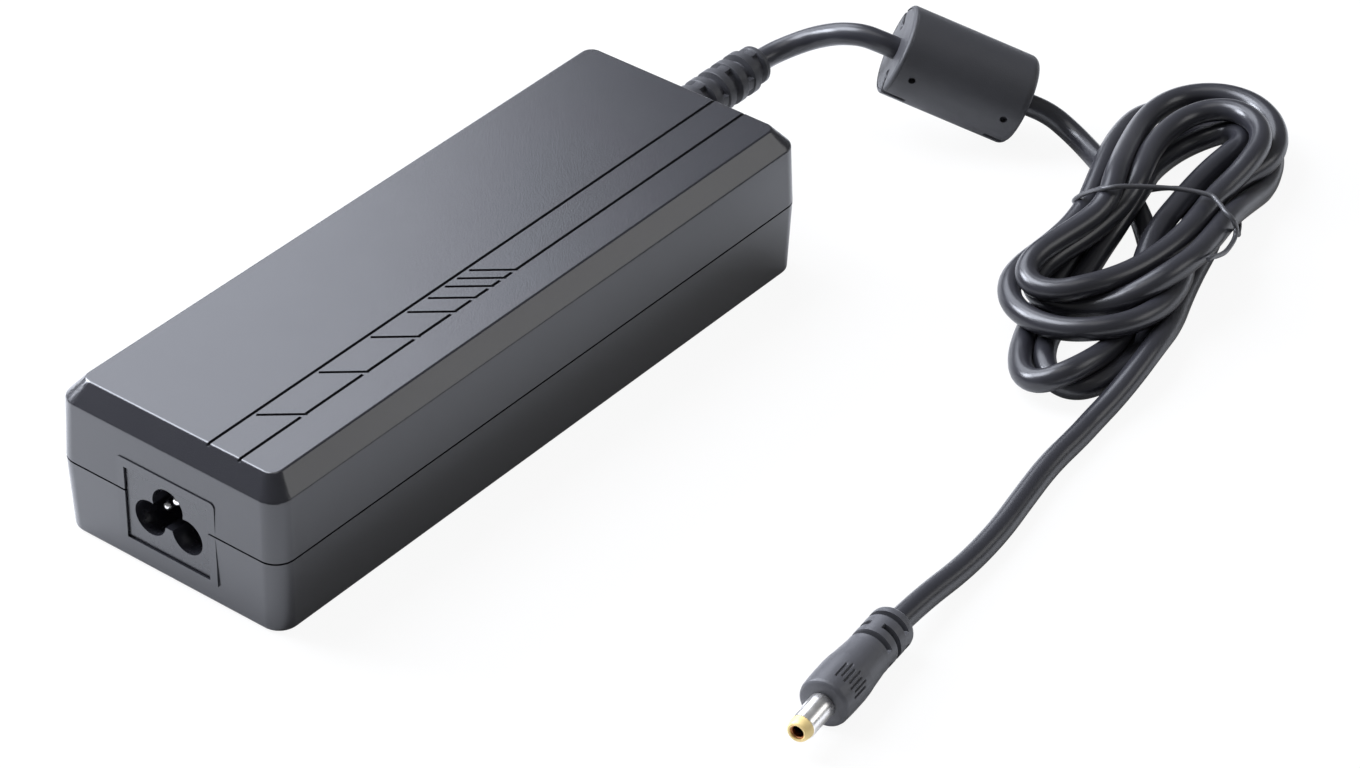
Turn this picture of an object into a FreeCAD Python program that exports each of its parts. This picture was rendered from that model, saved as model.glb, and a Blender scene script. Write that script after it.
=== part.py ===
import FreeCAD, Part
import math
import os

# A laptop power adapter: a two-part moulded case with a three-pin inlet at its front end (-Y), the power
# board inside, and a low-voltage lead at its back end (+Y) that runs through a ferrite bead, is wound into
# a tied hank and ends in a round barrel plug. Millimetres, +Z up, origin at the centre of the case's foot.

V = FreeCAD.Vector
X_AXIS = V(1, 0, 0)
Y_AXIS = V(0, 1, 0)
Z_AXIS = V(0, 0, 1)

# Case
CASE_WIDTH = 60.0
CASE_LENGTH = 168.6
CASE_HEIGHT = 36.4
PARTING_HEIGHT = 17.9
CASE_CORNER = 4.6
TOP_CORNER = 2.6
CHAMFER_WIDTH = 3.7
CHAMFER_DROP = 4.4
TOP_DRAFT = 0.5
BOTTOM_DRAFT = 0.6
WALL = 2.2
FOOT_ROUNDING = 1.0
EDGE_ROUNDING = 0.8
PARTING_GROOVE_HEIGHT = 0.45
PARTING_GROOVE_DEPTH = 0.8
LIP_HEIGHT = 1.8
FIT_CLEARANCE = 0.1

# Grooves in the top: two long lines and the slanted strokes between them
GROOVE_WIDTH = 0.75
GROOVE_DEPTH = 0.6
GROOVE_LEFT_X = 8.9
GROOVE_RIGHT_X = 17.05
STROKE_GAP = 0.85
STROKE_RISE = 6.6
FIRST_STROKE_Y = -60.9
STROKE_STEPS = (18.4, 15.6, 11.3, 6.4, 5.3, 3.8, 3.8)

# Inlet for a three-pole appliance coupler
INLET_WIDTH = 22.0
INLET_BOTTOM = 6.2
INLET_TOP = 23.4
INLET_RECESS = 0.5
INLET_GAP = 0.2
INLET_DEPTH = 15.8
INLET_FLANGE = 1.6
INLET_FLANGE_THICKNESS = 2.4
LOBE_RADIUS = 4.1
LOBE_HALF_SPACING = 5.0
LOBE_HEIGHT = 13.4
EARTH_LOBE_HEIGHT = 18.4
LOBE_WEB_DROP = 0.5
SOCKET_DEPTH = 12.5
INLET_PIN_RADIUS = 1.2
POWER_PIN_DEPTH = 4.2
EARTH_PIN_DEPTH = 2.0
PIN_TAIL_RADIUS = 0.6
PIN_TAIL_SETBACK = 1.4
PIN_TAIL_LENGTH = 0.8
PAD_MARGIN = 2.2
PAD_FOOT_MARGIN = 0.8

# Circuit board, its posts, and the plates that carry heat to the cover
BOARD_SIDE_CLEARANCE = 0.6
BOARD_FRONT_SETBACK = 3.1
BOARD_BACK_SETBACK = 5.6
BOARD_THICKNESS = 1.6
POST_SIDE_INSET = 4.2
POST_END_INSET = 4.0
POST_RADIUS = 2.5
PIP_RADIUS = 1.2
SHEET_THICKNESS = 0.4
SHEET_MARGIN = 1.0
PLATE_THICKNESS = 1.6
PLATE_EDGE = 0.4
PLATE_FLANGE = 7.0
CEILING_GAP = 0.7
SPREADER_THICKNESS = 0.8
SPREADER_SIDE_GAP = 0.3
SPREADER_END_INSET = 23.0
THERMAL_PAD_THICKNESS = 1.5
THERMAL_PAD_INSET = 2.0
SCREW_RADIUS = 1.5
SCREW_HEAD_RADIUS = 2.7
SCREW_HEAD_HEIGHT = 2.0

# Components on the board. A place is a side, the distance in from the board's edge on that side, and the
# distance from its front edge or its back edge.
LEG_RADIUS = 0.4
LEG_HEIGHT = 2.6
LEG_PITCH = 2.54
FUSE_PLACE = (-1, 5.1, 18.0)
FUSE_SIZE = (4.2, 8.4, 7.5)
FUSE_LIFT = 1.0
FUSE_LEG_SPACING = 5.0
VARISTOR_PLACE = (1, 7.1, 13.0)
VARISTOR_RADIUS = 5.5
VARISTOR_THICKNESS = 4.2
THERMISTOR_PLACE = (1, 5.0, 31.5)
SMALL_DISC_RADIUS = 4.5
SMALL_DISC_THICKNESS = 4.0
X_CAPACITOR_PLACE = (-1, 11.1, 28.5)
X_CAPACITOR_SIZE = (18.0, 9.0, 15.5)
X_CAPACITOR_LIFT = 0.8
X_CAPACITOR_LEG_SPACING = 15.0
LINE_CHOKE_FROM_FRONT = 21.5
LINE_CHOKE_SIDE_GAP = 2.4
LINE_CHOKE_RING = (9.0, 5.0, 7.0)
LINE_CHOKE_BUILD = 1.6
LINE_CHOKE_ANGLES = ((35, 145), (215, 325))
LINE_CHOKE_BASE = (22.0, 12.0, 1.5)
LINE_CHOKE_CRADLE = (4.0, 7.0, 6.0)
LINE_CHOKE_CLEARANCE = 1.1
BOOST_INDUCTOR_FROM_FRONT = 48.5
BOOST_INDUCTOR_SIDE_GAP = 2.1
BOOST_INDUCTOR_RIM = 4.5
BOOST_INDUCTOR_HEIGHT = 9.0
BOOST_INDUCTOR_BUILD = 1.8
BOOST_INDUCTOR_ANGLES = ((12, 348),)
BRIDGE_FROM_FRONT = 44.0
BRIDGE_SIZE = (3.6, 15.0, 12.0)
BRIDGE_LIFT = 4.0
BRIDGE_LEG_STEPS = (-6.0, -2.3, 2.3, 6.0)
PRIMARY_PLATE_SPAN = (35.0, 83.0)
SWITCH_FROM_FRONT = 63.0
BULK_CAPACITOR_PLACE = (-1, 10.8, 36.5)
BULK_CAPACITOR_RADIUS = 9.0
BULK_CAPACITOR_LENGTH = 32.0
SADDLE_HALF_WIDTH = 4.0
SADDLE_HEIGHT = 2.0
SADDLE_SPAN = (8.0, 28.0)
CAN_GROOVE_DEPTH = 0.4
CAN_GROOVE_WIDTH = 0.8
CAN_GROOVE_PLACE = 2.5
CONTROLLER_PLACE = (-1, 4.6, 77.0)
CONTROLLER_SIZE = (4.0, 10.0, 1.6)
TRANSFORMER_FROM_FRONT = 97.0
TRANSFORMER_WIDTH = 34.0
TRANSFORMER_DEPTH = 24.0
TRANSFORMER_TOP_GAP = 0.6
TRANSFORMER_PLATE = 4.0
TRANSFORMER_LEG = 4.5
TRANSFORMER_POST_RADIUS = 6.0
BOBBIN_WALL = 1.0
BOBBIN_OVERHANG = 2.5
Y_CAPACITOR_PLACE = (1, 4.1, 93.0)
OPTOCOUPLER_PLACE = (1, 3.6, 105.0)
OPTOCOUPLER_SIZE = (4.6, 6.4, 3.4)
SECONDARY_PLATE_SPAN = (18.5, 66.5)
RECTIFIER_FROM_BACK = 30.5
OUTPUT_CAPACITOR_ROW = (-8.0, 3.0, 14.0)
OUTPUT_CAPACITOR_FROM_BACK = 37.0
OUTPUT_CAPACITOR_RADIUS = 5.0
OUTPUT_CAPACITOR_HEIGHT = 20.0
SMALL_CAPACITOR_X = 3.0
SMALL_CAPACITOR_FROM_BACK = 25.0
SMALL_CAPACITOR_RADIUS = 4.0
SMALL_CAPACITOR_HEIGHT = 14.0
OUTPUT_CHOKE_PLACE = (1, 8.6, 23.5)
OUTPUT_CHOKE_RADIUS = 4.5
OUTPUT_CHOKE_HEIGHT = 18.0
OUTPUT_CHOKE_FOOT = (10.0, 10.0, 1.5)
PACKAGE_SIZE = (4.5, 10.2, 9.5)
PACKAGE_LIFT = 4.6
TAB_THICKNESS = 1.3
TAB_RISE = 5.5
TAB_HOLE_RISE = 3.0

# Strain relief and lead
CORD_DIAMETER = 5.2
FLOOR_GAP = 0.05
EXIT_X = -10.8
RELIEF_LENGTH = 36.9
RELIEF_NECK_RADIUS = 5.5
RELIEF_FLANGE_RADIUS = 7.2
RELIEF_FLANGE_THICKNESS = 3.0
RELIEF_COLLAR = 1.0
RELIEF_CORE_RADIUS = 3.9
RELIEF_END_CORE_RADIUS = 3.5
RIB_COUNT = 7
RIB_PITCH = 4.6
RIB_WIDTH = 2.8
RIB_RADIUS = 5.2
LAST_RIB_RADIUS = 4.55
LAST_RIB_SETBACK = 0.9
WEB_WIDTH = 3.0
WEB_INSET = 0.35
TAIL_INSIDE = 10.1
OUTPUT_WIRE_RADIUS = 1.0
OUTPUT_WIRE_OFFSET = 1.2
OUTPUT_WIRE_BEND = 5.0
OUTPUT_WIRE_REACH = 9.0

# Ferrite bead on the lead
BEAD_LEFT = V(14.0, 140.8, 22.4)
BEAD_RIGHT = V(38.1, 157.1, 9.8)
BEAD_RADIUS = 10.7
BEAD_SKIN = 1.6
BEAD_END_WALL = 2.0
BEAD_ROUNDING = 0.9
BEAD_PIN_RADIUS = 0.8
BEAD_PIN_INSET = 4.4
BEAD_PIN_COUNT = 3
BEAD_SLOT_LENGTH = 6.0
BEAD_SLOT_WIDTH = 1.6
BEAD_SLOT_DEPTH = 1.1
BEAD_SLOT_REACH = 5.0
BEAD_SLOT_ANGLES = (-42.0, 152.0)
CORE_CLEARANCE = 0.1

# Hank of the lead
HANK_CENTRE = V(86.5, 133.0, 0)
HANK_TILT = 9.0
HANK_LOOPS = 5
HANK_OUTER_RADIUS = 18.6
HANK_STEP = 6.0
HANK_LAYER = 6.6
HANK_BEND_CENTRE = 36.5
HANK_WAIST_HALF = 16.0
HANK_WAIST_DRAW = 3.5
HANK_WAIST_LIFT = 6.6
GAP_SAMPLE_STEP = 1.5
TIE_WIRE_DIAMETER = 1.0
TIE_CLEARANCE = 0.05
TIE_PLACE = 4.0
TIE_TAIL_REACH = 4.5
TIE_KNOT_RADIUS = 0.8
TIE_KNOT_HALF_HEIGHT = 1.5

# Plug
PLUG_START = V(124.248, -10.162, 5.226)
PLUG_DIRECTION = V(0.137, -0.990, 0.019)
PLUG_BODY_LENGTH = 28.3
PLUG_CORE_RADIUS = 3.9
PLUG_SLEEVE_RADIUS = 4.85
PLUG_GRIP_RADIUS = 5.55
PLUG_FRONT_RADIUS = 5.4
PLUG_NOSE_RADIUS = 3.3
PLUG_RING_START = 0.1
PLUG_RING_COUNT = 3
PLUG_RING_PITCH = 3.35
PLUG_RING_WIDTH = 2.2
PLUG_SLEEVE_START = 10.05
PLUG_SLEEVE_END = 11.1
PLUG_SHOULDER_RADIUS = 5.25
PLUG_SHOULDER_AT = 16.0
PLUG_GRIP_START = 19.5
PLUG_GRIP_END = 23.5
PLUG_FRONT_CHAMFER = 0.8
PLUG_WEB_WIDTH = 2.4
PLUG_WEB_INSET = 0.4
BARREL_RADIUS = 2.75
BARREL_WALL = 0.85
BARREL_LENGTH = 8.0
BARREL_BURIED = 12.0
BARREL_NECK_RADIUS = 2.25
BARREL_NECK_SHOWING = 0.2
TIP_LENGTH = 2.2
TIP_RADIUS = 2.6
TIP_TAPER = 0.5
CONTACT_SETBACK = 0.4
CONTACT_RADIUS = 1.55
CONTACT_BORE = 1.25
CONTACT_BORE_DEPTH = 9.5

# The corners of the lead's route between its ends, where it isn't wound. Each is rounded by an arc.
CORD_Z = CORD_DIAMETER / 2 + FLOOR_GAP
FIRST_STRETCH = [
    (EXIT_X, 126.3, PARTING_HEIGHT),
    (-9.3, 130.9, 19.1),
    (-6.4, 134.5, 21.3),
    (-2.4, 136.5, 23.6),
    (2.4, 137.0, 25.2),
    (7.4, 137.6, 25.0),
]
SECOND_STRETCH = [
    (50.2, 161.8, 4.8),
    (55.7, 159.4, 3.2),
    (61.9, 153.9, CORD_Z),
    (70.5, 147.6, CORD_Z),
    (83.9, 136.7, CORD_Z),
    (96.1, 126.4, CORD_Z),
    (104.2, 120.2, CORD_Z),
]
LAST_STRETCH = [
    (114.7, 75.5, 6.2),
    (115.6, 66.0, 3.4),
    (116.9, 55.5, CORD_Z),
    (118.9, 43.0, CORD_Z),
    (120.6, 31.0, CORD_Z),
    (121.5, 20.0, CORD_Z),
]
BEAD_LEAD_IN = 3.9
BEAD_LEAD_OUT = 7.2
HANK_LEAD_IN = 9.0
HANK_LEAD_OUT = 9.0
PLUG_LEAD_IN = 10.0

# Levels and inner sizes that follow from the sizes above
half_width = CASE_WIDTH / 2
half_length = CASE_LENGTH / 2
chamfer_foot = CASE_HEIGHT - CHAMFER_DROP
ceiling = CASE_HEIGHT - WALL
board_top = INLET_BOTTOM
board_bottom = board_top - BOARD_THICKNESS
front_face = -half_length
inlet_face = front_face + INLET_RECESS
inlet_back = inlet_face + INLET_DEPTH
inner_front = front_face + WALL
inner_back = half_length - WALL
board_side = half_width - BOTTOM_DRAFT - WALL - BOARD_SIDE_CLEARANCE
board_front = inner_front + BOARD_FRONT_SETBACK
board_back = inner_back - BOARD_BACK_SETBACK
roof_inset = TOP_DRAFT + CHAMFER_WIDTH + WALL / 2
spreader_bottom = ceiling - CEILING_GAP - SPREADER_THICKNESS
plate_top = spreader_bottom - THERMAL_PAD_THICKNESS
plate_outer = board_side - PLATE_EDGE
plate_inner = plate_outer - PLATE_THICKNESS
transformer_y = board_front + TRANSFORMER_FROM_FRONT
transformer_top = plate_top - PLATE_THICKNESS - TRANSFORMER_TOP_GAP
relief_end_y = half_length + RELIEF_LENGTH
tail_inner_y = inner_back - TAIL_INSIDE
cord_radius = CORD_DIAMETER / 2
bead_length = (BEAD_RIGHT - BEAD_LEFT).Length
bead_axis = (BEAD_RIGHT - BEAD_LEFT) * (1 / bead_length)
plug_axis = PLUG_DIRECTION * (1 / PLUG_DIRECTION.Length)


def export(name, shape):
    """Write one sub-part and say how many solids it has and how large they are."""
    shape.exportStep("parts/%s.step" % name)
    box = shape.BoundBox
    print("%-24s solids %d  volume %9.1f  z %.2f to %.2f  valid %s"
          % (name, len(shape.Solids), shape.Volume, box.ZMin, box.ZMax, shape.isValid()))


def fused(shapes):
    """One solid from touching or overlapping shapes, with its seams removed."""
    return shapes[0].fuse(list(shapes[1:])).removeSplitter()


def block(x0, x1, y0, y1, z0, z1):
    """A rectangular block between two corners."""
    return Part.makeBox(x1 - x0, y1 - y0, z1 - z0, V(x0, y0, z0))


def rod(radius, start, end):
    """A round bar from one point to another."""
    return Part.makeCylinder(radius, (end - start).Length, start, end - start)


def rounded_outline(half_x, half_y, corner, z):
    """A rectangle with round corners at height z, made of four lines and four arcs."""
    edges = []
    diagonal = corner * math.sqrt(0.5)
    for sx, sy in ((1, 1), (-1, 1), (-1, -1), (1, -1)):
        centre = V(sx * (half_x - corner), sy * (half_y - corner), z)
        along_x = centre + V(sx * corner, 0, 0)
        along_y = centre + V(0, sy * corner, 0)
        middle = centre + V(sx * diagonal, sy * diagonal, 0)
        first, last = (along_x, along_y) if sx == sy else (along_y, along_x)
        edges.append(Part.Arc(first, middle, last).toShape())
    sides = []
    for index, arc in enumerate(edges):
        following = edges[(index + 1) % 4]
        sides.append(arc)
        line = Part.LineSegment(arc.lastVertex(True).Point, following.firstVertex(True).Point)
        sides.append(line.toShape())
    return Part.Wire(sides)


def case_width_at(z):
    """Half the width that the draft leaves at height z, below the top chamfer."""
    if z >= PARTING_HEIGHT:
        share = (z - PARTING_HEIGHT) / (chamfer_foot - PARTING_HEIGHT)
        return half_width - TOP_DRAFT * share
    return half_width - BOTTOM_DRAFT * (1 - z / PARTING_HEIGHT)


def case_section(z, inset, corner):
    """The case's outline at height z, drawn in by inset all round."""
    drawn_in = half_width - case_width_at(z) + inset
    return rounded_outline(half_width - drawn_in, half_length - drawn_in, corner, z)


def half_inlet_opening(z0, z1):
    """The part of the inlet's hole in the front wall that lies between two heights."""
    side = INLET_WIDTH / 2 + INLET_GAP
    return block(-side, side, front_face - 1, inner_front + 1, z0, z1)


def inlet_pad(z0, z1):
    """The upright frame around the inlet, flush with the widest outline, between two heights."""
    side = INLET_WIDTH / 2 + PAD_MARGIN
    pad = block(-side, side, front_face, inner_front, z0, z1)
    corners = [edge for edge in pad.Edges
               if abs(edge.CenterOfMass.z - z1) < 0.01 and abs(abs(edge.CenterOfMass.x) - side) < 0.01]
    return pad.makeFillet(PAD_MARGIN / 2, corners) if z1 > PARTING_HEIGHT else pad


def inlet_seat():
    """The flat seat for the inlet's flange, cut into the drafted front wall from inside."""
    side = INLET_WIDTH / 2 + INLET_FLANGE + INLET_GAP
    return block(-side, side, inner_front, inner_front + 1, WALL, INLET_TOP + INLET_FLANGE + INLET_GAP)


def relief_hole(radius, y0, y1):
    """A round hole for the strain relief, on the parting line."""
    return Part.makeCylinder(radius, y1 - y0, V(EXIT_X, y0, PARTING_HEIGHT), Y_AXIS)


def top_grooves():
    """The two long grooves, the slanted strokes and the steps between the strokes, as one cutter."""
    bottom = CASE_HEIGHT - GROOVE_DEPTH
    reach = half_length + 1
    half = GROOVE_WIDTH / 2
    cutters = [block(GROOVE_LEFT_X - half, GROOVE_LEFT_X + half, -reach, reach, bottom, CASE_HEIGHT + 1)]
    stroke_ends = [FIRST_STROKE_Y]
    for step in STROKE_STEPS:
        stroke_ends.append(stroke_ends[-1] + step)
    run_start = -reach
    for end_y in stroke_ends + [None]:
        run_end = reach if end_y is None else end_y - STROKE_GAP - GROOVE_WIDTH
        cutters.append(block(GROOVE_RIGHT_X - half, GROOVE_RIGHT_X + half, run_start, run_end,
                             bottom, CASE_HEIGHT + 1))
        if end_y is not None:
            run_start = end_y
            left = V(GROOVE_LEFT_X + STROKE_GAP, end_y - STROKE_RISE, bottom)
            right = V(GROOVE_RIGHT_X + half, end_y, bottom)
            along = (right - left).normalize()
            side = along.cross(Z_AXIS) * half
            corners = [left - side, left + side, right + side, right - side, left - side]
            cutters.append(Part.Face(Part.makePolygon(corners)).extrude(V(0, 0, GROOVE_DEPTH + 1)))
    return cutters


def top_cover():
    """The upper half of the case, with its chamfered top, its grooves and the lip that locates it."""
    top_half = half_width - TOP_DRAFT - CHAMFER_WIDTH
    top_half_length = half_length - TOP_DRAFT - CHAMFER_WIDTH
    top_outline = rounded_outline(top_half, top_half_length, TOP_CORNER, CASE_HEIGHT)
    outer = Part.makeLoft([case_section(PARTING_HEIGHT, 0, CASE_CORNER),
                           case_section(chamfer_foot, 0, CASE_CORNER), top_outline], True, True)
    rim = [edge for edge in outer.Edges
           if abs(edge.BoundBox.ZMin - CASE_HEIGHT) < 0.01 or
           (abs(edge.BoundBox.ZMin - chamfer_foot) < 0.01 and abs(edge.BoundBox.ZMax - chamfer_foot) < 0.01)]
    outer = outer.makeFillet(EDGE_ROUNDING, rim)
    outer = fused([outer, inlet_pad(PARTING_HEIGHT, INLET_TOP + PAD_MARGIN)])
    cavity = Part.makeLoft([case_section(PARTING_HEIGHT, WALL, CASE_CORNER - WALL),
                            case_section(chamfer_foot - WALL / 2, WALL, CASE_CORNER - WALL),
                            rounded_outline(half_width - roof_inset, half_length - roof_inset,
                                            CASE_CORNER - WALL, ceiling)], True, True)
    lip_outer = WALL / 2 + FIT_CLEARANCE
    lip_bottom = PARTING_HEIGHT - LIP_HEIGHT
    lip = Part.Face(case_section(PARTING_HEIGHT, lip_outer, CASE_CORNER - lip_outer)).extrude(
        V(0, 0, -LIP_HEIGHT))
    lip_hollow = Part.Face(case_section(PARTING_HEIGHT, WALL, CASE_CORNER - WALL)).extrude(
        V(0, 0, -LIP_HEIGHT))
    shell = fused([outer.cut(cavity), lip.cut(lip_hollow)])
    holes = [half_inlet_opening(lip_bottom - 1, INLET_TOP + INLET_GAP / 2), inlet_seat(),
             relief_hole(RELIEF_NECK_RADIUS, inner_back - 1, half_length + 1),
             relief_hole(RELIEF_FLANGE_RADIUS + FIT_CLEARANCE, inner_back - 1, inner_back)]
    return shell.cut(holes + top_grooves())


def bottom_case():
    """The lower half of the case, with the board's posts and the rebate for the cover's lip."""
    rim = PARTING_HEIGHT
    outer = Part.makeLoft([case_section(0, 0, CASE_CORNER), case_section(rim, 0, CASE_CORNER)], True, True)
    foot = [edge for edge in outer.Edges if edge.BoundBox.ZMax < 0.01]
    outer = outer.makeFillet(FOOT_ROUNDING, foot)
    pad_foot = INLET_BOTTOM - INLET_GAP - PAD_FOOT_MARGIN
    outer = fused([outer, inlet_pad(pad_foot, rim)])
    cavity = Part.makeLoft([case_section(WALL, WALL, CASE_CORNER - WALL),
                            case_section(rim, WALL, CASE_CORNER - WALL)], True, True)
    rebate_depth = LIP_HEIGHT + FIT_CLEARANCE
    rebate = Part.Face(case_section(rim, WALL / 2, CASE_CORNER - WALL / 2)).extrude(V(0, 0, -rebate_depth))
    ring = Part.Face(rounded_outline(half_width + 1, half_length + 1, CASE_CORNER, rim)).extrude(
        V(0, 0, -PARTING_GROOVE_HEIGHT))
    groove_bed = case_section(rim, PARTING_GROOVE_DEPTH, CASE_CORNER - PARTING_GROOVE_DEPTH)
    ring_inside = Part.Face(groove_bed).extrude(V(0, 0, -PARTING_GROOVE_HEIGHT))
    shell = outer.cut([cavity, rebate, ring.cut(ring_inside)])
    posts = []
    for x, y in post_places():
        posts.append(rod(POST_RADIUS, V(x, y, WALL / 2), V(x, y, board_bottom)))
        posts.append(rod(PIP_RADIUS, V(x, y, WALL / 2), V(x, y, board_top + PIP_RADIUS)))
    shell = fused([shell] + posts)
    return shell.cut([half_inlet_opening(INLET_BOTTOM - INLET_GAP, rim + 1), inlet_seat(),
                      relief_hole(RELIEF_NECK_RADIUS, inner_back - 1, half_length + 1),
                      relief_hole(RELIEF_FLANGE_RADIUS + FIT_CLEARANCE, inner_back - 1, inner_back)])


def post_places():
    """Where the four posts carry the board."""
    ends = (board_front + POST_END_INSET, board_back - POST_END_INSET)
    return [(sx * (board_side - POST_SIDE_INSET), y) for y in ends for sx in (-1, 1)]


def inlet_block():
    """The inlet's insulating body, with its three-lobed socket and a flange that hooks behind the wall."""
    side = INLET_WIDTH / 2
    body = block(-side, side, inlet_face, inlet_back, INLET_BOTTOM, INLET_TOP)
    flange = block(-side - INLET_FLANGE, side + INLET_FLANGE, inner_front,
                   inner_front + INLET_FLANGE_THICKNESS, INLET_BOTTOM, INLET_TOP + INLET_FLANGE)
    socket_end = inlet_face + SOCKET_DEPTH
    lobes = [rod(LOBE_RADIUS, V(x, inlet_face - 1, z), V(x, socket_end, z)) for x, z in pin_places()]
    web_foot = LOBE_HEIGHT - LOBE_WEB_DROP
    side_x = LOBE_HALF_SPACING
    outline = ((-side_x, web_foot), (side_x, web_foot), (side_x, LOBE_HEIGHT), (0, EARTH_LOBE_HEIGHT),
               (-side_x, LOBE_HEIGHT))
    corners = [V(x, inlet_face - 1, z) for x, z in outline]
    web = Part.Face(Part.makePolygon(corners + corners[:1])).extrude(V(0, SOCKET_DEPTH + 1, 0))
    holes = [rod(INLET_PIN_RADIUS, V(x, socket_end - 1, z), V(x, inlet_back + 1, z))
             for x, z in pin_places()]
    return fused([body, flange]).cut([fused(lobes + [web])] + holes)


def pin_places():
    """The three pins' places across the inlet: two power pins and the earth pin above them."""
    return [(-LOBE_HALF_SPACING, LOBE_HEIGHT), (LOBE_HALF_SPACING, LOBE_HEIGHT), (0, EARTH_LOBE_HEIGHT)]


def inlet_pin(x, z, depth):
    """One round pin, domed at its tip, and the tail that goes down through the board."""
    tip = V(x, inlet_face + depth, z)
    tail_y = inlet_back + PIN_TAIL_SETBACK
    shank_start = tip + Y_AXIS * INLET_PIN_RADIUS
    dome = Part.makeSphere(INLET_PIN_RADIUS, shank_start)
    shank = rod(INLET_PIN_RADIUS, shank_start, V(x, tail_y, z))
    foot = board_bottom - PIN_TAIL_LENGTH
    tail = rod(PIN_TAIL_RADIUS, V(x, tail_y - PIN_TAIL_RADIUS, z), V(x, tail_y - PIN_TAIL_RADIUS, foot))
    return fused([dome, shank, tail])


def circuit_board():
    """The board, with holes for the posts' pips and the inlet's tails."""
    board = block(-board_side, board_side, board_front, board_back, board_bottom, board_top)
    holes = [rod(PIP_RADIUS + FIT_CLEARANCE, V(x, y, 0), V(x, y, CASE_HEIGHT)) for x, y in post_places()]
    tail_y = inlet_back + PIN_TAIL_SETBACK - PIN_TAIL_RADIUS
    holes += [rod(PIN_TAIL_RADIUS + FIT_CLEARANCE, V(x, tail_y, 0), V(x, tail_y, board_top + 1))
              for x, z in pin_places()]
    return board.cut(holes)


def insulation_sheet():
    """The thin sheet under the board, laid on the case's floor, with holes for the posts."""
    side = board_side - SHEET_MARGIN
    sheet = block(-side, side, board_front + SHEET_MARGIN, board_back - SHEET_MARGIN,
                  WALL, WALL + SHEET_THICKNESS)
    holes = [rod(POST_RADIUS + FIT_CLEARANCE, V(x, y, 0), V(x, y, board_bottom)) for x, y in post_places()]
    return sheet.cut(holes)


def on_board(size, x, y, lift=0.0):
    """A block centred at x, y that stands on the board, or lift above it."""
    width, depth, height = size
    base = board_top + lift
    return block(x - width / 2, x + width / 2, y - depth / 2, y + depth / 2, base, base + height)


def from_front(place):
    """A place on the board measured from its front edge, in the part's frame."""
    side, inset, along = place
    return side * (board_side - inset), board_front + along


def from_back(place):
    """A place on the board measured from its back edge, in the part's frame."""
    side, inset, along = place
    return side * (board_side - inset), board_back - along


def legs(places, height=LEG_HEIGHT):
    """Short round legs between the board and a component that stands clear of it."""
    return [rod(LEG_RADIUS, V(x, y, board_top), V(x, y, board_top + height)) for x, y in places]


def standing_disc(radius, thickness, x, y, axis):
    """A disc component on two legs, with its flat sides facing along the axis given."""
    centre = V(x, y, board_top + LEG_HEIGHT + radius - LEG_RADIUS)
    disc = Part.makeCylinder(radius, thickness, centre - axis * (thickness / 2), axis)
    rim = [edge for edge in disc.Edges if edge.Curve.TypeId == "Part::GeomCircle"]
    disc = disc.makeFillet(thickness / 4, rim)
    across = V(axis.y, axis.x, 0)
    feet = [V(x, y, 0) + across * (sign * radius / 2) for sign in (-1, 1)]
    return fused([disc] + legs([(foot.x, foot.y) for foot in feet], LEG_HEIGHT + radius / 2))


def ring_core(outer, inner, height, centre, axis):
    """A ring-shaped magnetic core."""
    start = centre - axis * (height / 2)
    return Part.makeCylinder(outer, height, start, axis).cut(Part.makeCylinder(inner, height, start, axis))


def ring_winding(ring, centre, axis, build, spans):
    """Wire wound round a ring core, as one closed jacket for each span of angles."""
    outer, inner, height = ring
    jacket = ring_core(outer + build, inner - build, height + 2 * build, centre, axis)
    jacket = jacket.cut(ring_core(outer + FIT_CLEARANCE, inner - FIT_CLEARANCE, height, centre, axis))
    across = Z_AXIS if abs(axis.z) < 0.5 else X_AXIS
    pieces = []
    for start, end in spans:
        sector = Part.makeCylinder(outer + build + 1, height + 2 * build + 2,
                                   centre - axis * (height / 2 + build + 1), axis, end - start)
        sector.rotate(centre, axis, start + sector_offset(axis, across))
        pieces.append(jacket.common(sector))
    return Part.makeCompound(pieces)


def sector_offset(axis, across):
    """The angle from a part cylinder's own start direction to the direction given, about its axis."""
    start = Part.makeCylinder(1, 1, V(0, 0, 0), axis, 1).CenterOfMass
    start = (start - axis * start.dot(axis)).normalize()
    return math.degrees(math.atan2(start.cross(across).dot(axis), start.dot(across)))


def transformer_core():
    """Two E-shaped ferrite halves that meet at mid height."""
    y = transformer_y
    half = TRANSFORMER_WIDTH / 2
    depth = TRANSFORMER_DEPTH / 2
    top = transformer_top
    middle = (board_top + top) / 2
    halves = []
    for low, high, plate_low in ((board_top, middle, board_top), (middle, top, top - TRANSFORMER_PLATE)):
        pieces = [block(-half, half, y - depth, y + depth, plate_low, plate_low + TRANSFORMER_PLATE)]
        for side in (-1, 1):
            inner, outer = sorted((side * half, side * (half - TRANSFORMER_LEG)))
            pieces.append(block(inner, outer, y - depth, y + depth, low, high))
        pieces.append(rod(TRANSFORMER_POST_RADIUS, V(0, y, low), V(0, y, high)))
        halves.append(fused(pieces))
    return Part.makeCompound(halves)


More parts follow.
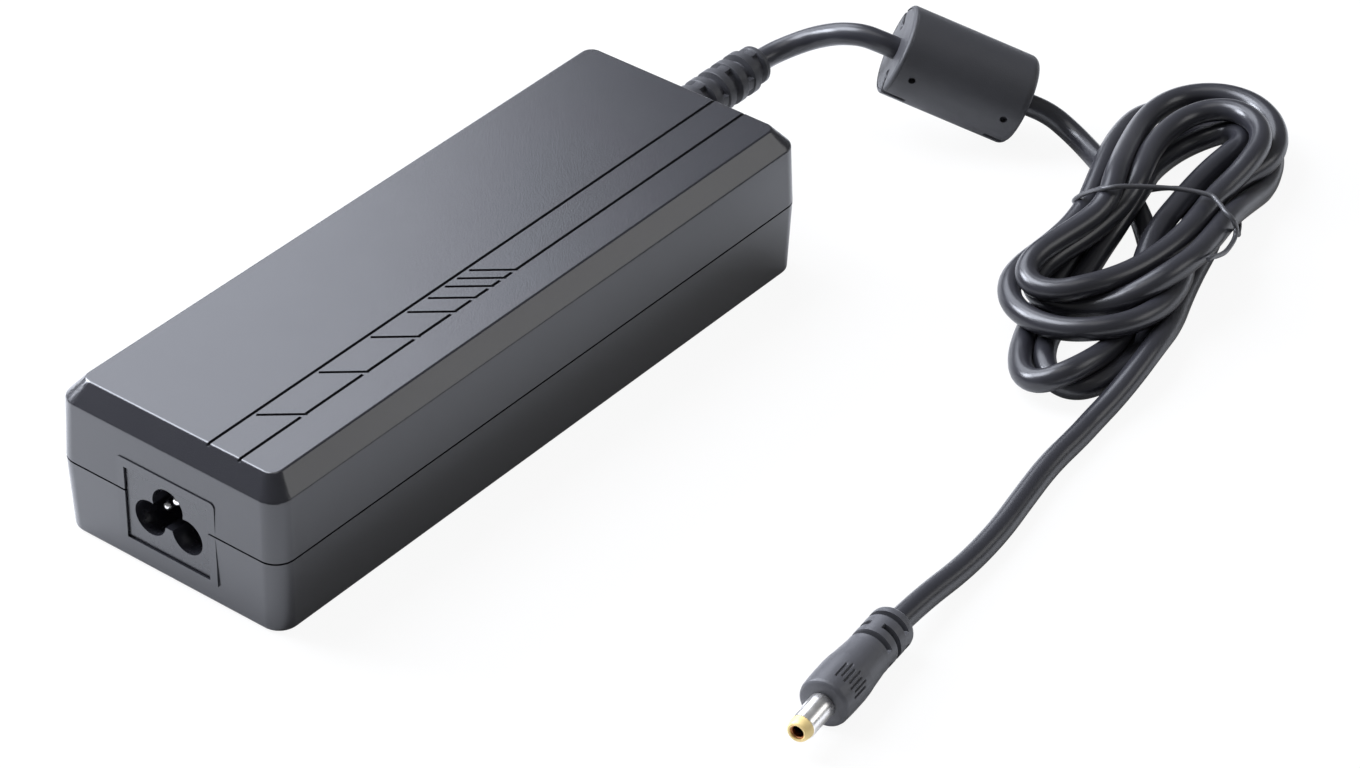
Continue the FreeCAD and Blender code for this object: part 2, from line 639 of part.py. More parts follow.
def transformer_bobbin():
    """The plastic former: a tube on the core's post, two flanges and a footed base on the board."""
    y = transformer_y
    low = board_top + TRANSFORMER_PLATE
    high = transformer_top - TRANSFORMER_PLATE - FIT_CLEARANCE
    bore = TRANSFORMER_POST_RADIUS + FIT_CLEARANCE
    tube = rod(bore + BOBBIN_WALL, V(0, y, low), V(0, y, high))
    reach = TRANSFORMER_WIDTH / 2 - TRANSFORMER_LEG - FIT_CLEARANCE
    depth = TRANSFORMER_DEPTH / 2 + BOBBIN_OVERHANG
    flanges = [block(-reach, reach, y - depth, y + depth, z, z + BOBBIN_WALL)
               for z in (low, high - BOBBIN_WALL)]
    feet = []
    for side in (-1, 1):
        near, far = sorted((y + side * (TRANSFORMER_DEPTH / 2 + FIT_CLEARANCE), y + side * depth))
        feet.append(block(-reach, reach, near, far, board_top, low + BOBBIN_WALL))
    bobbin = fused([tube] + flanges + feet)
    return bobbin.cut(rod(bore, V(0, y, board_top), V(0, y, CASE_HEIGHT)))


def transformer_winding():
    """The wound wire and its tape, a ring between the bobbin's flanges."""
    y = transformer_y
    low = board_top + TRANSFORMER_PLATE + BOBBIN_WALL
    high = transformer_top - TRANSFORMER_PLATE - BOBBIN_WALL - 2 * FIT_CLEARANCE
    inner = TRANSFORMER_POST_RADIUS + BOBBIN_WALL + 2 * FIT_CLEARANCE
    outer = TRANSFORMER_WIDTH / 2 - TRANSFORMER_LEG - 1
    return rod(outer, V(0, y, low), V(0, y, high)).cut(rod(inner, V(0, y, low - 1), V(0, y, high + 1)))


def heatsink(side, y0, y1, package_y):
    """A bent aluminium plate on the board's edge, its flange turned inwards, with the screw's hole."""
    x0, x1 = sorted((side * plate_inner, side * plate_outer))
    plate = block(x0, x1, y0, y1, board_top, plate_top)
    f0, f1 = sorted((side * plate_outer, side * (plate_inner - PLATE_FLANGE)))
    flange = block(f0, f1, y0, y1, plate_top - PLATE_THICKNESS, plate_top)
    hole = rod(SCREW_RADIUS, V(side * (plate_inner - 1), package_y, screw_height()),
               V(side * (plate_outer + 1), package_y, screw_height()))
    return fused([plate, flange]).cut(hole)


def screw_height():
    """The height of the screws that hold the power packages to their plates."""
    return board_top + PACKAGE_LIFT + PACKAGE_SIZE[2] + TAB_HOLE_RISE


def power_package(side, y):
    """A flat power component: a moulded body on three legs, its metal tab against the heatsink."""
    body, width, height = PACKAGE_SIZE
    face = side * plate_inner
    base = board_top + PACKAGE_LIFT
    x0, x1 = sorted((face, face - side * body))
    tab0, tab1 = sorted((face, face - side * TAB_THICKNESS))
    moulded = block(x0, x1, y - width / 2, y + width / 2, base, base + height)
    tab = block(tab0, tab1, y - width / 2, y + width / 2, base, base + height + TAB_RISE)
    tab = tab.cut(rod(SCREW_RADIUS + FIT_CLEARANCE, V(face - side * body, y, screw_height()),
                      V(face + side, y, screw_height())))
    pins = legs([(face - side * body / 2, y + step * LEG_PITCH) for step in (-1, 0, 1)], PACKAGE_LIFT + 0.5)
    return fused([moulded, tab] + pins)


def heatsink_screws(primary_y, secondary_y):
    """The two screws that hold the power packages to their plates."""
    screws = []
    for side, y in ((1, primary_y), (-1, secondary_y)):
        tab_face = V(side * (plate_inner - TAB_THICKNESS), y, screw_height())
        head = rod(SCREW_HEAD_RADIUS, tab_face, tab_face - X_AXIS * (side * SCREW_HEAD_HEIGHT))
        shank = rod(SCREW_RADIUS, tab_face - X_AXIS * (side * SCREW_HEAD_HEIGHT / 2),
                    V(side * plate_outer, y, screw_height()))
        screws.append(fused([head, shank]))
    return Part.makeCompound(screws)


def standing_can(radius, height, x, y):
    """An electrolytic capacitor on its end, with the groove of its rubber bung near the board."""
    can = rod(radius, V(x, y, board_top), V(x, y, board_top + height))
    groove = ring_core(radius + 1, radius - CAN_GROOVE_DEPTH, CAN_GROOVE_WIDTH,
                       V(x, y, board_top + CAN_GROOVE_PLACE), Z_AXIS)
    return can.cut(groove)


def bulk_capacitor():
    """The large electrolytic capacitor, laid along the board on a saddle of glue."""
    radius = BULK_CAPACITOR_RADIUS
    x, y = from_front(BULK_CAPACITOR_PLACE)
    centre = V(x, y, board_top + radius)
    can = Part.makeCylinder(radius, BULK_CAPACITOR_LENGTH, centre, Y_AXIS)
    groove = ring_core(radius + 1, radius - CAN_GROOVE_DEPTH, CAN_GROOVE_WIDTH,
                       centre + Y_AXIS * CAN_GROOVE_PLACE, Y_AXIS)
    saddle = block(x - SADDLE_HALF_WIDTH, x + SADDLE_HALF_WIDTH, y + SADDLE_SPAN[0], y + SADDLE_SPAN[1],
                   board_top, board_top + SADDLE_HEIGHT).cut(can)
    return fused([can.cut(groove), saddle])


def input_parts():
    """The components between the inlet and the transformer, by name."""
    parts = {}
    x, y = from_front(FUSE_PLACE)
    fuse_legs = [(x, y - FUSE_LEG_SPACING / 2), (x, y + FUSE_LEG_SPACING / 2)]
    parts["fuse"] = fused([on_board(FUSE_SIZE, x, y, FUSE_LIFT)] + legs(fuse_legs, FUSE_LIFT + 0.2))
    parts["varistor"] = standing_disc(VARISTOR_RADIUS, VARISTOR_THICKNESS,
                                      *from_front(VARISTOR_PLACE), Y_AXIS)
    parts["thermistor"] = standing_disc(SMALL_DISC_RADIUS, SMALL_DISC_THICKNESS,
                                        *from_front(THERMISTOR_PLACE), X_AXIS)
    x, y = from_front(X_CAPACITOR_PLACE)
    box_legs = [(x - X_CAPACITOR_LEG_SPACING / 2, y), (x + X_CAPACITOR_LEG_SPACING / 2, y)]
    parts["x_capacitor"] = fused([on_board(X_CAPACITOR_SIZE, x, y, X_CAPACITOR_LIFT)]
                                 + legs(box_legs, X_CAPACITOR_LIFT + 0.2))
    x_capacitor_side = x + X_CAPACITOR_SIZE[0] / 2
    outer, inner, height = LINE_CHOKE_RING
    x = x_capacitor_side + LINE_CHOKE_SIDE_GAP + LINE_CHOKE_BUILD + outer
    y = board_front + LINE_CHOKE_FROM_FRONT
    centre = V(x, y, board_top + LINE_CHOKE_BASE[2] + LINE_CHOKE_CLEARANCE + LINE_CHOKE_BUILD + outer)
    parts["line_choke_core"] = ring_core(outer, inner, height, centre, Y_AXIS)
    parts["line_choke_windings"] = ring_winding(LINE_CHOKE_RING, centre, Y_AXIS, LINE_CHOKE_BUILD,
                                                LINE_CHOKE_ANGLES)
    stand = fused([on_board(LINE_CHOKE_BASE, x, y), on_board(LINE_CHOKE_CRADLE, x, y)])
    parts["line_choke_base"] = stand.cut(rod(outer, centre - Y_AXIS * height, centre + Y_AXIS * height))
    thick, width, height = BRIDGE_SIZE
    room_start = from_front(BULK_CAPACITOR_PLACE)[0] + BULK_CAPACITOR_RADIUS + BOOST_INDUCTOR_SIDE_GAP
    room_end = plate_inner - thick - BOOST_INDUCTOR_SIDE_GAP
    outer = (room_end - room_start) / 2 - BOOST_INDUCTOR_BUILD
    ring = (outer, outer - BOOST_INDUCTOR_RIM, BOOST_INDUCTOR_HEIGHT)
    centre = V((room_start + room_end) / 2, board_front + BOOST_INDUCTOR_FROM_FRONT,
               board_top + BOOST_INDUCTOR_BUILD + BOOST_INDUCTOR_HEIGHT / 2)
    parts["boost_inductor_core"] = ring_core(*ring, centre, Z_AXIS)
    parts["boost_inductor_winding"] = ring_winding(ring, centre, Z_AXIS, BOOST_INDUCTOR_BUILD,
                                                   BOOST_INDUCTOR_ANGLES)
    x = plate_inner - thick / 2
    y = board_front + BRIDGE_FROM_FRONT
    bridge_legs = legs([(x, y + step) for step in BRIDGE_LEG_STEPS], BRIDGE_LIFT + 0.5)
    parts["bridge_rectifier"] = fused([on_board((thick, width, height), x, y, BRIDGE_LIFT)] + bridge_legs)
    parts["bulk_capacitor"] = bulk_capacitor()
    parts["controller_chip"] = on_board(CONTROLLER_SIZE, *from_front(CONTROLLER_PLACE))
    return parts


def output_parts():
    """The components beyond the transformer, by name."""
    parts = {}
    parts["y_capacitor"] = standing_disc(SMALL_DISC_RADIUS, SMALL_DISC_THICKNESS,
                                         *from_front(Y_CAPACITOR_PLACE), X_AXIS)
    parts["optocoupler"] = on_board(OPTOCOUPLER_SIZE, *from_front(OPTOCOUPLER_PLACE))
    cans = [standing_can(OUTPUT_CAPACITOR_RADIUS, OUTPUT_CAPACITOR_HEIGHT,
                         x, board_back - OUTPUT_CAPACITOR_FROM_BACK) for x in OUTPUT_CAPACITOR_ROW]
    cans.append(standing_can(SMALL_CAPACITOR_RADIUS, SMALL_CAPACITOR_HEIGHT,
                             SMALL_CAPACITOR_X, board_back - SMALL_CAPACITOR_FROM_BACK))
    parts["output_capacitors"] = Part.makeCompound(cans)
    x, y = from_back(OUTPUT_CHOKE_PLACE)
    foot_top = board_top + OUTPUT_CHOKE_FOOT[2]
    choke = rod(OUTPUT_CHOKE_RADIUS, V(x, y, foot_top), V(x, y, foot_top + OUTPUT_CHOKE_HEIGHT))
    parts["output_choke"] = fused([choke, on_board(OUTPUT_CHOKE_FOOT, x, y)])
    return parts


def cooling_parts():
    """The two plates, the packages screwed to them, and what carries their heat to the cover."""
    primary_span = [board_front + place for place in PRIMARY_PLATE_SPAN]
    secondary_span = sorted(board_back - place for place in SECONDARY_PLATE_SPAN)
    primary_y = board_front + SWITCH_FROM_FRONT
    secondary_y = board_back - RECTIFIER_FROM_BACK
    pads = []
    for side, span in ((1, primary_span), (-1, secondary_span)):
        x0, x1 = sorted((side * plate_inner, side * (plate_inner - PLATE_FLANGE)))
        pads.append(block(x0, x1, span[0] + THERMAL_PAD_INSET, span[1] - THERMAL_PAD_INSET,
                          plate_top, spreader_bottom))
    spreader_side = half_width - roof_inset - SPREADER_SIDE_GAP
    spreader_end = half_length - SPREADER_END_INSET
    return {"primary_heatsink": heatsink(1, *primary_span, primary_y),
            "secondary_heatsink": heatsink(-1, *secondary_span, secondary_y),
            "switching_transistor": power_package(1, primary_y),
            "output_rectifier": power_package(-1, secondary_y),
            "heatsink_screws": heatsink_screws(primary_y, secondary_y),
            "thermal_pads": Part.makeCompound(pads),
            "heat_spreader": block(-spreader_side, spreader_side, -spreader_end, spreader_end,
                                   spreader_bottom, spreader_bottom + SPREADER_THICKNESS)}


def output_lead(side):
    """One insulated wire from the lead's inner end down to its pad on the board."""
    bend = OUTPUT_WIRE_BEND
    start = V(EXIT_X + side * OUTPUT_WIRE_OFFSET, tail_inner_y, PARTING_HEIGHT)
    drop_y = tail_inner_y - OUTPUT_WIRE_REACH
    before = V(start.x, drop_y + bend, start.z)
    after = V(start.x, drop_y, start.z - bend)
    foot = V(start.x, drop_y, board_top)
    short = bend * (1 - math.sqrt(0.5))
    corner = V(start.x, drop_y + short, start.z - short)
    wire = Part.Wire([Part.LineSegment(start, before).toShape(), Part.Arc(before, corner, after).toShape(),
                      Part.LineSegment(after, foot).toShape()])
    return swept(wire, OUTPUT_WIRE_RADIUS)


def swept(path, radius):
    """A round tube along a wire."""
    start = path.OrderedEdges[0]
    direction = start.tangentAt(start.FirstParameter)
    if start.Orientation == "Reversed":
        direction = start.tangentAt(start.LastParameter) * -1
    point = path.OrderedVertexes[0].Point
    circle = Part.Wire([Part.Circle(point, direction, radius).toShape()])
    return path.makePipeShell([circle], True, False)


def strain_relief():
    """The ribbed rubber sleeve: a neck in the case's wall, rings joined by staggered webs, and a bore."""
    start = inner_back - RELIEF_FLANGE_THICKNESS
    centre_z = PARTING_HEIGHT

    def disc(radius, y0, y1):
        return Part.makeCylinder(radius, y1 - y0, V(EXIT_X, y0, centre_z), Y_AXIS)

    core_start = half_length + RELIEF_COLLAR
    core = Part.makeCone(RELIEF_CORE_RADIUS, RELIEF_END_CORE_RADIUS, relief_end_y - core_start,
                         V(EXIT_X, core_start, centre_z), Y_AXIS)
    pieces = [disc(RELIEF_FLANGE_RADIUS, start, inner_back),
              disc(RELIEF_NECK_RADIUS, inner_back - 1, core_start), core]
    last_centre = relief_end_y - LAST_RIB_SETBACK
    for index in range(RIB_COUNT):
        centre_y = last_centre - index * RIB_PITCH
        radius = LAST_RIB_RADIUS if index == 0 else RIB_RADIUS
        width = RIB_WIDTH if index else 2 * LAST_RIB_SETBACK
        pieces.append(disc(radius, centre_y - width / 2, centre_y + width / 2))
        back = centre_y - RIB_PITCH
        reach = radius - WEB_INSET
        half = WEB_WIDTH / 2
        if index % 2:
            web = block(EXIT_X - reach, EXIT_X + reach, back, centre_y, centre_z - half, centre_z + half)
        else:
            web = block(EXIT_X - half, EXIT_X + half, back, centre_y, centre_z - reach, centre_z + reach)
        pieces.append(web)
    return fused(pieces).cut(disc(cord_radius, start - 1, relief_end_y + 1))


def tangent_path(points, label):
    """A wire of straight runs joined by arcs, and its length. An arc's radius follows from its two runs."""
    points = [V(*point) for point in points]
    edges = []
    radii = []
    previous = points[0]
    length = 0.0
    for before, corner, after in zip(points, points[1:], points[2:]):
        back = (before - corner)
        ahead = (after - corner)
        reach = 0.45 * min(back.Length, ahead.Length)
        back.normalize()
        ahead.normalize()
        half_turn = (math.pi - back.getAngle(ahead)) / 2
        radius = reach / math.tan(half_turn)
        start = corner + back * reach
        end = corner + ahead * reach
        inward = (back + ahead).normalize()
        middle = corner + inward * (math.hypot(radius, reach) - radius)
        edges.append(Part.LineSegment(previous, start).toShape())
        edges.append(Part.Arc(start, middle, end).toShape())
        length += (start - previous).Length + 2 * half_turn * radius
        previous = end
        radii.append(radius)
    edges.append(Part.LineSegment(previous, points[-1]).toShape())
    length += (points[-1] - previous).Length
    print("%s: bend radii %s" % (label, " ".join("%.1f" % radius for radius in radii)))
    return Part.Wire(edges), length


def cord_tube(points, label):
    """The lead's tube along a route, with its volume set against its section times its length."""
    path, length = tangent_path(points, label)
    tube = swept(path, cord_radius)
    expected = math.pi * cord_radius ** 2 * length
    print("%s: length %.1f, volume %.1f of %.1f" % (label, length, tube.Volume, expected))
    return tube, length


def hank_place(x, y, z):
    """A point of the hank's own frame, in the part's frame. Its y runs along the hank."""
    cosine = math.cos(math.radians(HANK_TILT))
    sine = math.sin(math.radians(HANK_TILT))
    return HANK_CENTRE + V(x * cosine - y * sine, x * sine + y * cosine, z)


def hank_bends():
    """The hank's half-turn bends in order: which end each is at, its radius and its height.

    The first is at the low end. Radii shrink by half a step at each bend until the spiral turns, then
    grow again a layer higher.
    """
    count = 2 * HANK_LOOPS
    bends = []
    for index in range(count):
        upper = index >= HANK_LOOPS
        rank = count - 1 - index if upper else index
        radius = HANK_OUTER_RADIUS - HANK_STEP / 2 * rank
        bends.append((-1 if index % 2 == 0 else 1, radius, CORD_Z + (HANK_LAYER if upper else 0.0)))
    return bends


def smooth_step(start, end):
    """Two equal arcs that leave start and reach end both heading the same way along the hank."""
    ahead = V(0, 1 if end.y > start.y else -1, 0)
    offset = end - start
    along = offset.dot(ahead)
    sideways = offset - ahead * along
    shift = sideways.Length
    side = sideways.normalize()
    radius = (along ** 2 + shift ** 2) / (4 * shift)
    half_angle = math.asin(along / (2 * radius)) / 2
    middle = (start + end) * 0.5

    def on_arc(origin, towards, forward):
        sagitta = radius * (1 - math.cos(half_angle))
        return origin + forward * (radius * math.sin(half_angle)) + towards * sagitta

    arcs = [(start, on_arc(start, side, ahead), middle),
            (middle, on_arc(end, side * -1, ahead * -1), end)]
    return arcs, radius


def hank_side(here, end, height):
    """One long side of the hank, drawn in and lifted at the waist, to where the next bend begins."""
    waist_x = here.x - math.copysign(HANK_WAIST_DRAW, here.x)
    waist_in = V(waist_x, end * HANK_WAIST_HALF, height + HANK_WAIST_LIFT)
    waist_out = V(waist_x, -end * HANK_WAIST_HALF, height + HANK_WAIST_LIFT)
    there = V(here.x, -end * HANK_BEND_CENTRE, height)
    step_in, radius_in = smooth_step(here, waist_in)
    step_out, radius_out = smooth_step(waist_out, there)
    return step_in + [(waist_in, waist_out)] + step_out, there, min(radius_in, radius_out)


def hank_route():
    """The hank's centre line in its own frame, and its tightest radius.

    Each piece is a line of two points or an arc of three. The line leads in and out at the low end.
    """
    bends = hank_bends()
    here = V(HANK_OUTER_RADIUS, -HANK_BEND_CENTRE, CORD_Z)
    pieces = [(here + V(0, CORD_DIAMETER, 0), here)]
    tightest = HANK_OUTER_RADIUS
    next_heights = [height for _, _, height in bends[1:] + bends[-1:]]
    for (end, radius, height), next_height in zip(bends, next_heights):
        centre = V(here.x + end * radius, here.y, height)
        quarter = math.sqrt(0.5) * radius
        apex = centre + V(0, end * radius, 0)
        after = centre + V(end * radius, 0, 0)
        pieces.append((here, centre + V(-end * quarter, end * quarter, 0), apex))
        pieces.append((apex, centre + V(end * quarter, end * quarter, 0), after))
        side, here, side_radius = hank_side(after, end, next_height)
        pieces += side
        tightest = min(tightest, radius, side_radius)
    pieces.append((here, here - V(0, CORD_DIAMETER, 0)))
    return pieces, tightest


def hank_solid():
    """The wound tube, with its least gap to itself measured on points along its centre line."""
    pieces, tightest = hank_route()
    edges = []
    for piece in pieces:
        corners = [hank_place(point.x, point.y, point.z) for point in piece]
        if len(corners) == 2:
            edges.append(Part.LineSegment(*corners).toShape())
        else:
            edges.append(Part.Arc(*corners).toShape())
    path = Part.Wire(edges)
    tube = swept(path, cord_radius)
    print("hank: length %.1f, volume %.1f of %.1f, tightest radius %.1f, least gap %.2f"
          % (path.Length, tube.Volume, math.pi * cord_radius ** 2 * path.Length, tightest, least_gap(edges)))
    return tube, path.Length


def least_gap(edges):
    """The least gap of the tube to itself: centre-line points that lie further apart along it than across."""
    points = []
    for edge in edges:
        count = max(2, int(edge.Length / GAP_SAMPLE_STEP))
        points += edge.discretize(count + 1)[:-1]
    places = []
    travelled = 0.0
    for before, point in zip(points[:1] + points, points):
        travelled += (point - before).Length
        places.append((travelled, point))
    reach = 2 * CORD_DIAMETER
    least = reach
    for index, (walked, point) in enumerate(places):
        for later, other in places[index + 1:]:
            if later - walked > 3 * CORD_DIAMETER and abs(other.x - point.x) < reach:
                least = min(least, (other - point).Length)
    return least - CORD_DIAMETER


def hank_tie():
    """The thin covered wire round the hank's waist, closed on itself, with its two twisted ends."""
    half = HANK_OUTER_RADIUS - HANK_WAIST_DRAW + cord_radius + TIE_CLEARANCE + TIE_WIRE_DIAMETER / 2
    radius = TIE_WIRE_DIAMETER / 2
    low = CORD_Z + cord_radius + TIE_CLEARANCE + radius
    high = CORD_Z + HANK_WAIST_LIFT + HANK_LAYER + cord_radius + TIE_CLEARANCE + radius
    bend = CORD_DIAMETER / 2

    def at(x, z):
        return hank_place(x, TIE_PLACE, z)

    edges = []
    corners = [(half, high), (-half, high), (-half, low), (half, low)]
    centres = [(x - math.copysign(bend, x), z - (bend if z == high else -bend)) for x, z in corners]
    for index, ((x, z), (cx, cz)) in enumerate(zip(corners, centres)):
        out = V(x - cx, 0, z - cz) * math.sqrt(0.5)
        along_x = at(x, cz)
        along_z = at(cx, z)
        first, last = (along_x, along_z) if index % 2 == 0 else (along_z, along_x)
        edges.append((first, at(cx + out.x, cz + out.z), last))
    path = []
    for index, (first, middle, last) in enumerate(edges):
        path.append(Part.Arc(first, middle, last).toShape())
        path.append(Part.LineSegment(last, edges[(index + 1) % 4][0]).toShape())
    ring = swept(Part.Wire(path), radius)
    twist_z = (low + high) / 2
    knot = rod(TIE_KNOT_RADIUS, at(half, twist_z - TIE_KNOT_HALF_HEIGHT),
               at(half, twist_z + TIE_KNOT_HALF_HEIGHT))
    tails = [rod(radius, at(half, twist_z + sign), at(half + TIE_TAIL_REACH, twist_z + 2 * sign))
             for sign in (-1, 1)]
    return fused([ring, knot] + tails)


def along_plug(distance):
    """The point on the plug's axis a distance from where the lead enters it."""
    return PLUG_START + plug_axis * distance


def plug_turning(profile):
    """A solid turned about the plug's axis, from distances and radii in order along it."""
    pieces = []
    for (s0, r0), (s1, r1) in zip(profile, profile[1:]):
        if s1 - s0 < 1e-6:
            continue
        if abs(r1 - r0) < 1e-6:
            pieces.append(Part.makeCylinder(r0, s1 - s0, along_plug(s0), plug_axis))
        else:
            pieces.append(Part.makeCone(r0, r1, s1 - s0, along_plug(s0), plug_axis))
    return fused(pieces)


def plug_body():
    """The moulded grip: three slotted rings at the lead's end, then a sleeve that swells to the grip."""
    turned = plug_turning([(0, PLUG_NOSE_RADIUS), (PLUG_RING_WIDTH * 0.5, PLUG_CORE_RADIUS),
                           (PLUG_SLEEVE_START, PLUG_CORE_RADIUS), (PLUG_SLEEVE_START, PLUG_SLEEVE_RADIUS),
                           (PLUG_SLEEVE_END, PLUG_SLEEVE_RADIUS), (PLUG_SHOULDER_AT, PLUG_SHOULDER_RADIUS),
                           (PLUG_GRIP_START, PLUG_GRIP_RADIUS), (PLUG_GRIP_END, PLUG_GRIP_RADIUS),
                           (PLUG_BODY_LENGTH - PLUG_FRONT_CHAMFER, PLUG_FRONT_RADIUS),
                           (PLUG_BODY_LENGTH, PLUG_FRONT_RADIUS - PLUG_FRONT_CHAMFER)])
    pieces = [turned]
    for index in range(PLUG_RING_COUNT):
        start = PLUG_RING_START + index * PLUG_RING_PITCH
        pieces.append(rod(PLUG_SLEEVE_RADIUS, along_plug(start), along_plug(start + PLUG_RING_WIDTH)))
    pieces.append(plug_webs())
    body = fused(pieces)
    barrel_seat = rod(BARREL_NECK_RADIUS, along_plug(PLUG_BODY_LENGTH - BARREL_BURIED),
                      along_plug(PLUG_BODY_LENGTH + 1))
    return body.cut(barrel_seat)


def plug_webs():
    """The bars that join the plug's rings to its sleeve, on two opposite sides."""
    reach = PLUG_SLEEVE_RADIUS - PLUG_WEB_INSET
    start = along_plug(PLUG_RING_START)
    length = PLUG_SLEEVE_START - PLUG_RING_START + 0.5
    bar = Part.makeBox(PLUG_WEB_WIDTH, 2 * reach, length, V(-PLUG_WEB_WIDTH / 2, -reach, 0))
    bar.Placement = FreeCAD.Placement(start, FreeCAD.Rotation(Z_AXIS, plug_axis)).multiply(bar.Placement)
    return bar


def plug_parts():
    """The plug's grip, barrel, tip insulator and centre contact."""
    front = PLUG_BODY_LENGTH
    back = front - BARREL_BURIED
    neck_end = front + BARREL_NECK_SHOWING
    barrel_end = front + BARREL_LENGTH
    tip_end = barrel_end + TIP_LENGTH
    inner = BARREL_RADIUS - BARREL_WALL
    barrel = fused([rod(BARREL_NECK_RADIUS, along_plug(back), along_plug(neck_end)),
                    rod(BARREL_RADIUS, along_plug(neck_end), along_plug(barrel_end))])
    barrel = barrel.cut(rod(inner, along_plug(back - 1), along_plug(barrel_end + 1)))
    insulator = fused([rod(inner, along_plug(back), along_plug(barrel_end)),
                       Part.makeCone(TIP_RADIUS, TIP_RADIUS - TIP_TAPER, TIP_LENGTH, along_plug(barrel_end),
                                     plug_axis)])
    insulator = insulator.cut(rod(CONTACT_RADIUS, along_plug(back - 1), along_plug(tip_end + 1)))
    contact = rod(CONTACT_RADIUS, along_plug(back), along_plug(tip_end - CONTACT_SETBACK)).cut(
        rod(CONTACT_BORE, along_plug(tip_end - CONTACT_BORE_DEPTH), along_plug(tip_end + 1)))
    return {"plug_grip": plug_body(), "plug_barrel": barrel, "plug_insulator": insulator,
            "plug_contact": contact}


def bead_point(distance):
    """The point on the bead's axis a distance from its left end."""
    return BEAD_LEFT + bead_axis * distance


def around(side, up, angle):
    """The direction at an angle from side towards up."""
    return side * math.cos(math.radians(angle)) + up * math.sin(math.radians(angle))


def slot(end, out, inward, near, far, length):
    """A narrow block that lies along the bead from one end, between two distances from its axis."""
    width = out.cross(inward) * (BEAD_SLOT_WIDTH / 2)
    start = end - inward
    corners = [start + out * near - width, start + out * near + width,
               start + out * far + width, start + out * far - width]
    return Part.Face(Part.makePolygon(corners + corners[:1])).extrude(inward * (length + 1))


def bead_parts():
    """The ferrite core, its moulded cover with the moulding pins' holes, and the lead's run inside."""
    length = bead_length
    cover = rod(BEAD_RADIUS, bead_point(0), bead_point(length))
    rims = [edge for edge in cover.Edges if edge.Closed]
    cover = cover.makeFillet(BEAD_ROUNDING, rims)
    core_radius = BEAD_RADIUS - BEAD_SKIN
    seat = rod(core_radius, bead_point(BEAD_END_WALL), bead_point(length - BEAD_END_WALL))
    passage = rod(cord_radius, bead_point(-1), bead_point(length + 1))
    core = rod(core_radius, bead_point(BEAD_END_WALL), bead_point(length - BEAD_END_WALL))
    core = core.cut(rod(cord_radius + CORE_CLEARANCE, bead_point(0), bead_point(length)))
    side = bead_axis.cross(Z_AXIS).normalize()
    up = side.cross(bead_axis)
    holes = []
    for index in range(BEAD_PIN_COUNT):
        out = around(side, up, 360.0 / BEAD_PIN_COUNT * index)
        for place in (BEAD_PIN_INSET, length - BEAD_PIN_INSET):
            holes.append(rod(BEAD_PIN_RADIUS, bead_point(place) + out * (core_radius - 0.5),
                             bead_point(place) + out * (BEAD_RADIUS + 1)))
    for angle in BEAD_SLOT_ANGLES:
        out = around(side, up, angle)
        for end, inward in ((bead_point(0), bead_axis), (bead_point(length), bead_axis * -1)):
            holes.append(slot(end, out, inward, BEAD_RADIUS - BEAD_SLOT_DEPTH, BEAD_RADIUS + 1,
                              BEAD_SLOT_LENGTH))
            holes.append(slot(end, out, inward, BEAD_RADIUS - BEAD_SLOT_REACH, BEAD_RADIUS + 1,
                              BEAD_SLOT_DEPTH))
    cover = cover.cut([seat, passage] + holes)
    inner_run = rod(cord_radius, bead_point(0), bead_point(length))
    return {"bead_core": core, "bead_cover": cover, "cord_bead_run": inner_run}


def main():
    os.makedirs("parts", exist_ok=True)
    export("top_cover", top_cover())
    export("bottom_case", bottom_case())
    export("inlet_block", inlet_block())
    for name, (x, z), depth in zip(("line_pin", "neutral_pin", "earth_pin"), pin_places(),
                                   (POWER_PIN_DEPTH, POWER_PIN_DEPTH, EARTH_PIN_DEPTH)):
        export(name, inlet_pin(x, z, depth))
    export("circuit_board", circuit_board())
    export("insulation_sheet", insulation_sheet())
    for family in (input_parts(), output_parts(), cooling_parts()):
        for name, shape in family.items():
            export(name, shape)
    export("transformer_core", transformer_core())
    export("transformer_bobbin", transformer_bobbin())
    export("transformer_winding", transformer_winding())
    export("lead_positive", output_lead(1))
    export("lead_negative", output_lead(-1))
    export("strain_relief", strain_relief())
    relief_end = V(EXIT_X, relief_end_y, PARTING_HEIGHT)
    export("cord_tail", rod(cord_radius, V(EXIT_X, tail_inner_y, PARTING_HEIGHT), relief_end))
    first, first_length = cord_tube([relief_end] + FIRST_STRETCH + [bead_point(-BEAD_LEAD_IN), BEAD_LEFT],
                                    "first stretch")
    export("cord_first_stretch", first)
    for name, shape in bead_parts().items():
        export(name, shape)
    pieces, _ = hank_route()
    hank_start = hank_place(*pieces[0][0])
    hank_end = hank_place(*pieces[-1][-1])
    ahead = (hank_place(*pieces[0][1]) - hank_start).normalize()
    second, second_length = cord_tube([BEAD_RIGHT, bead_point(bead_length + BEAD_LEAD_OUT)] + SECOND_STRETCH
                                      + [hank_start - ahead * HANK_LEAD_IN, hank_start], "second stretch")
    export("cord_second_stretch", second)
    hank, hank_length = hank_solid()
    export("cord_hank", hank)
    export("hank_tie", hank_tie())
    last, last_length = cord_tube([hank_end, hank_end + ahead * HANK_LEAD_OUT] + LAST_STRETCH
                                  + [along_plug(-PLUG_LEAD_IN), PLUG_START], "last stretch")
    export("cord_last_stretch", last)
    for name, shape in plug_parts().items():
        export(name, shape)
    total = first_length + bead_length + second_length + hank_length + last_length
    print("free lead from the strain relief to the plug: %.0f mm" % total)


main()
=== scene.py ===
# %% [markdown]
# A laptop power adapter, dressed for its portrait.
# The measured model of the adapter comes in as a fixed frame: every solid is already at its real size and
# place. What Blender adds is what the eye judges: the finish of each plastic, the lead as one smooth cord,
# and the moulded rubber pieces as fine surfaces. All sizes below are in millimetres, and mm() turns them
# into metres.

import math

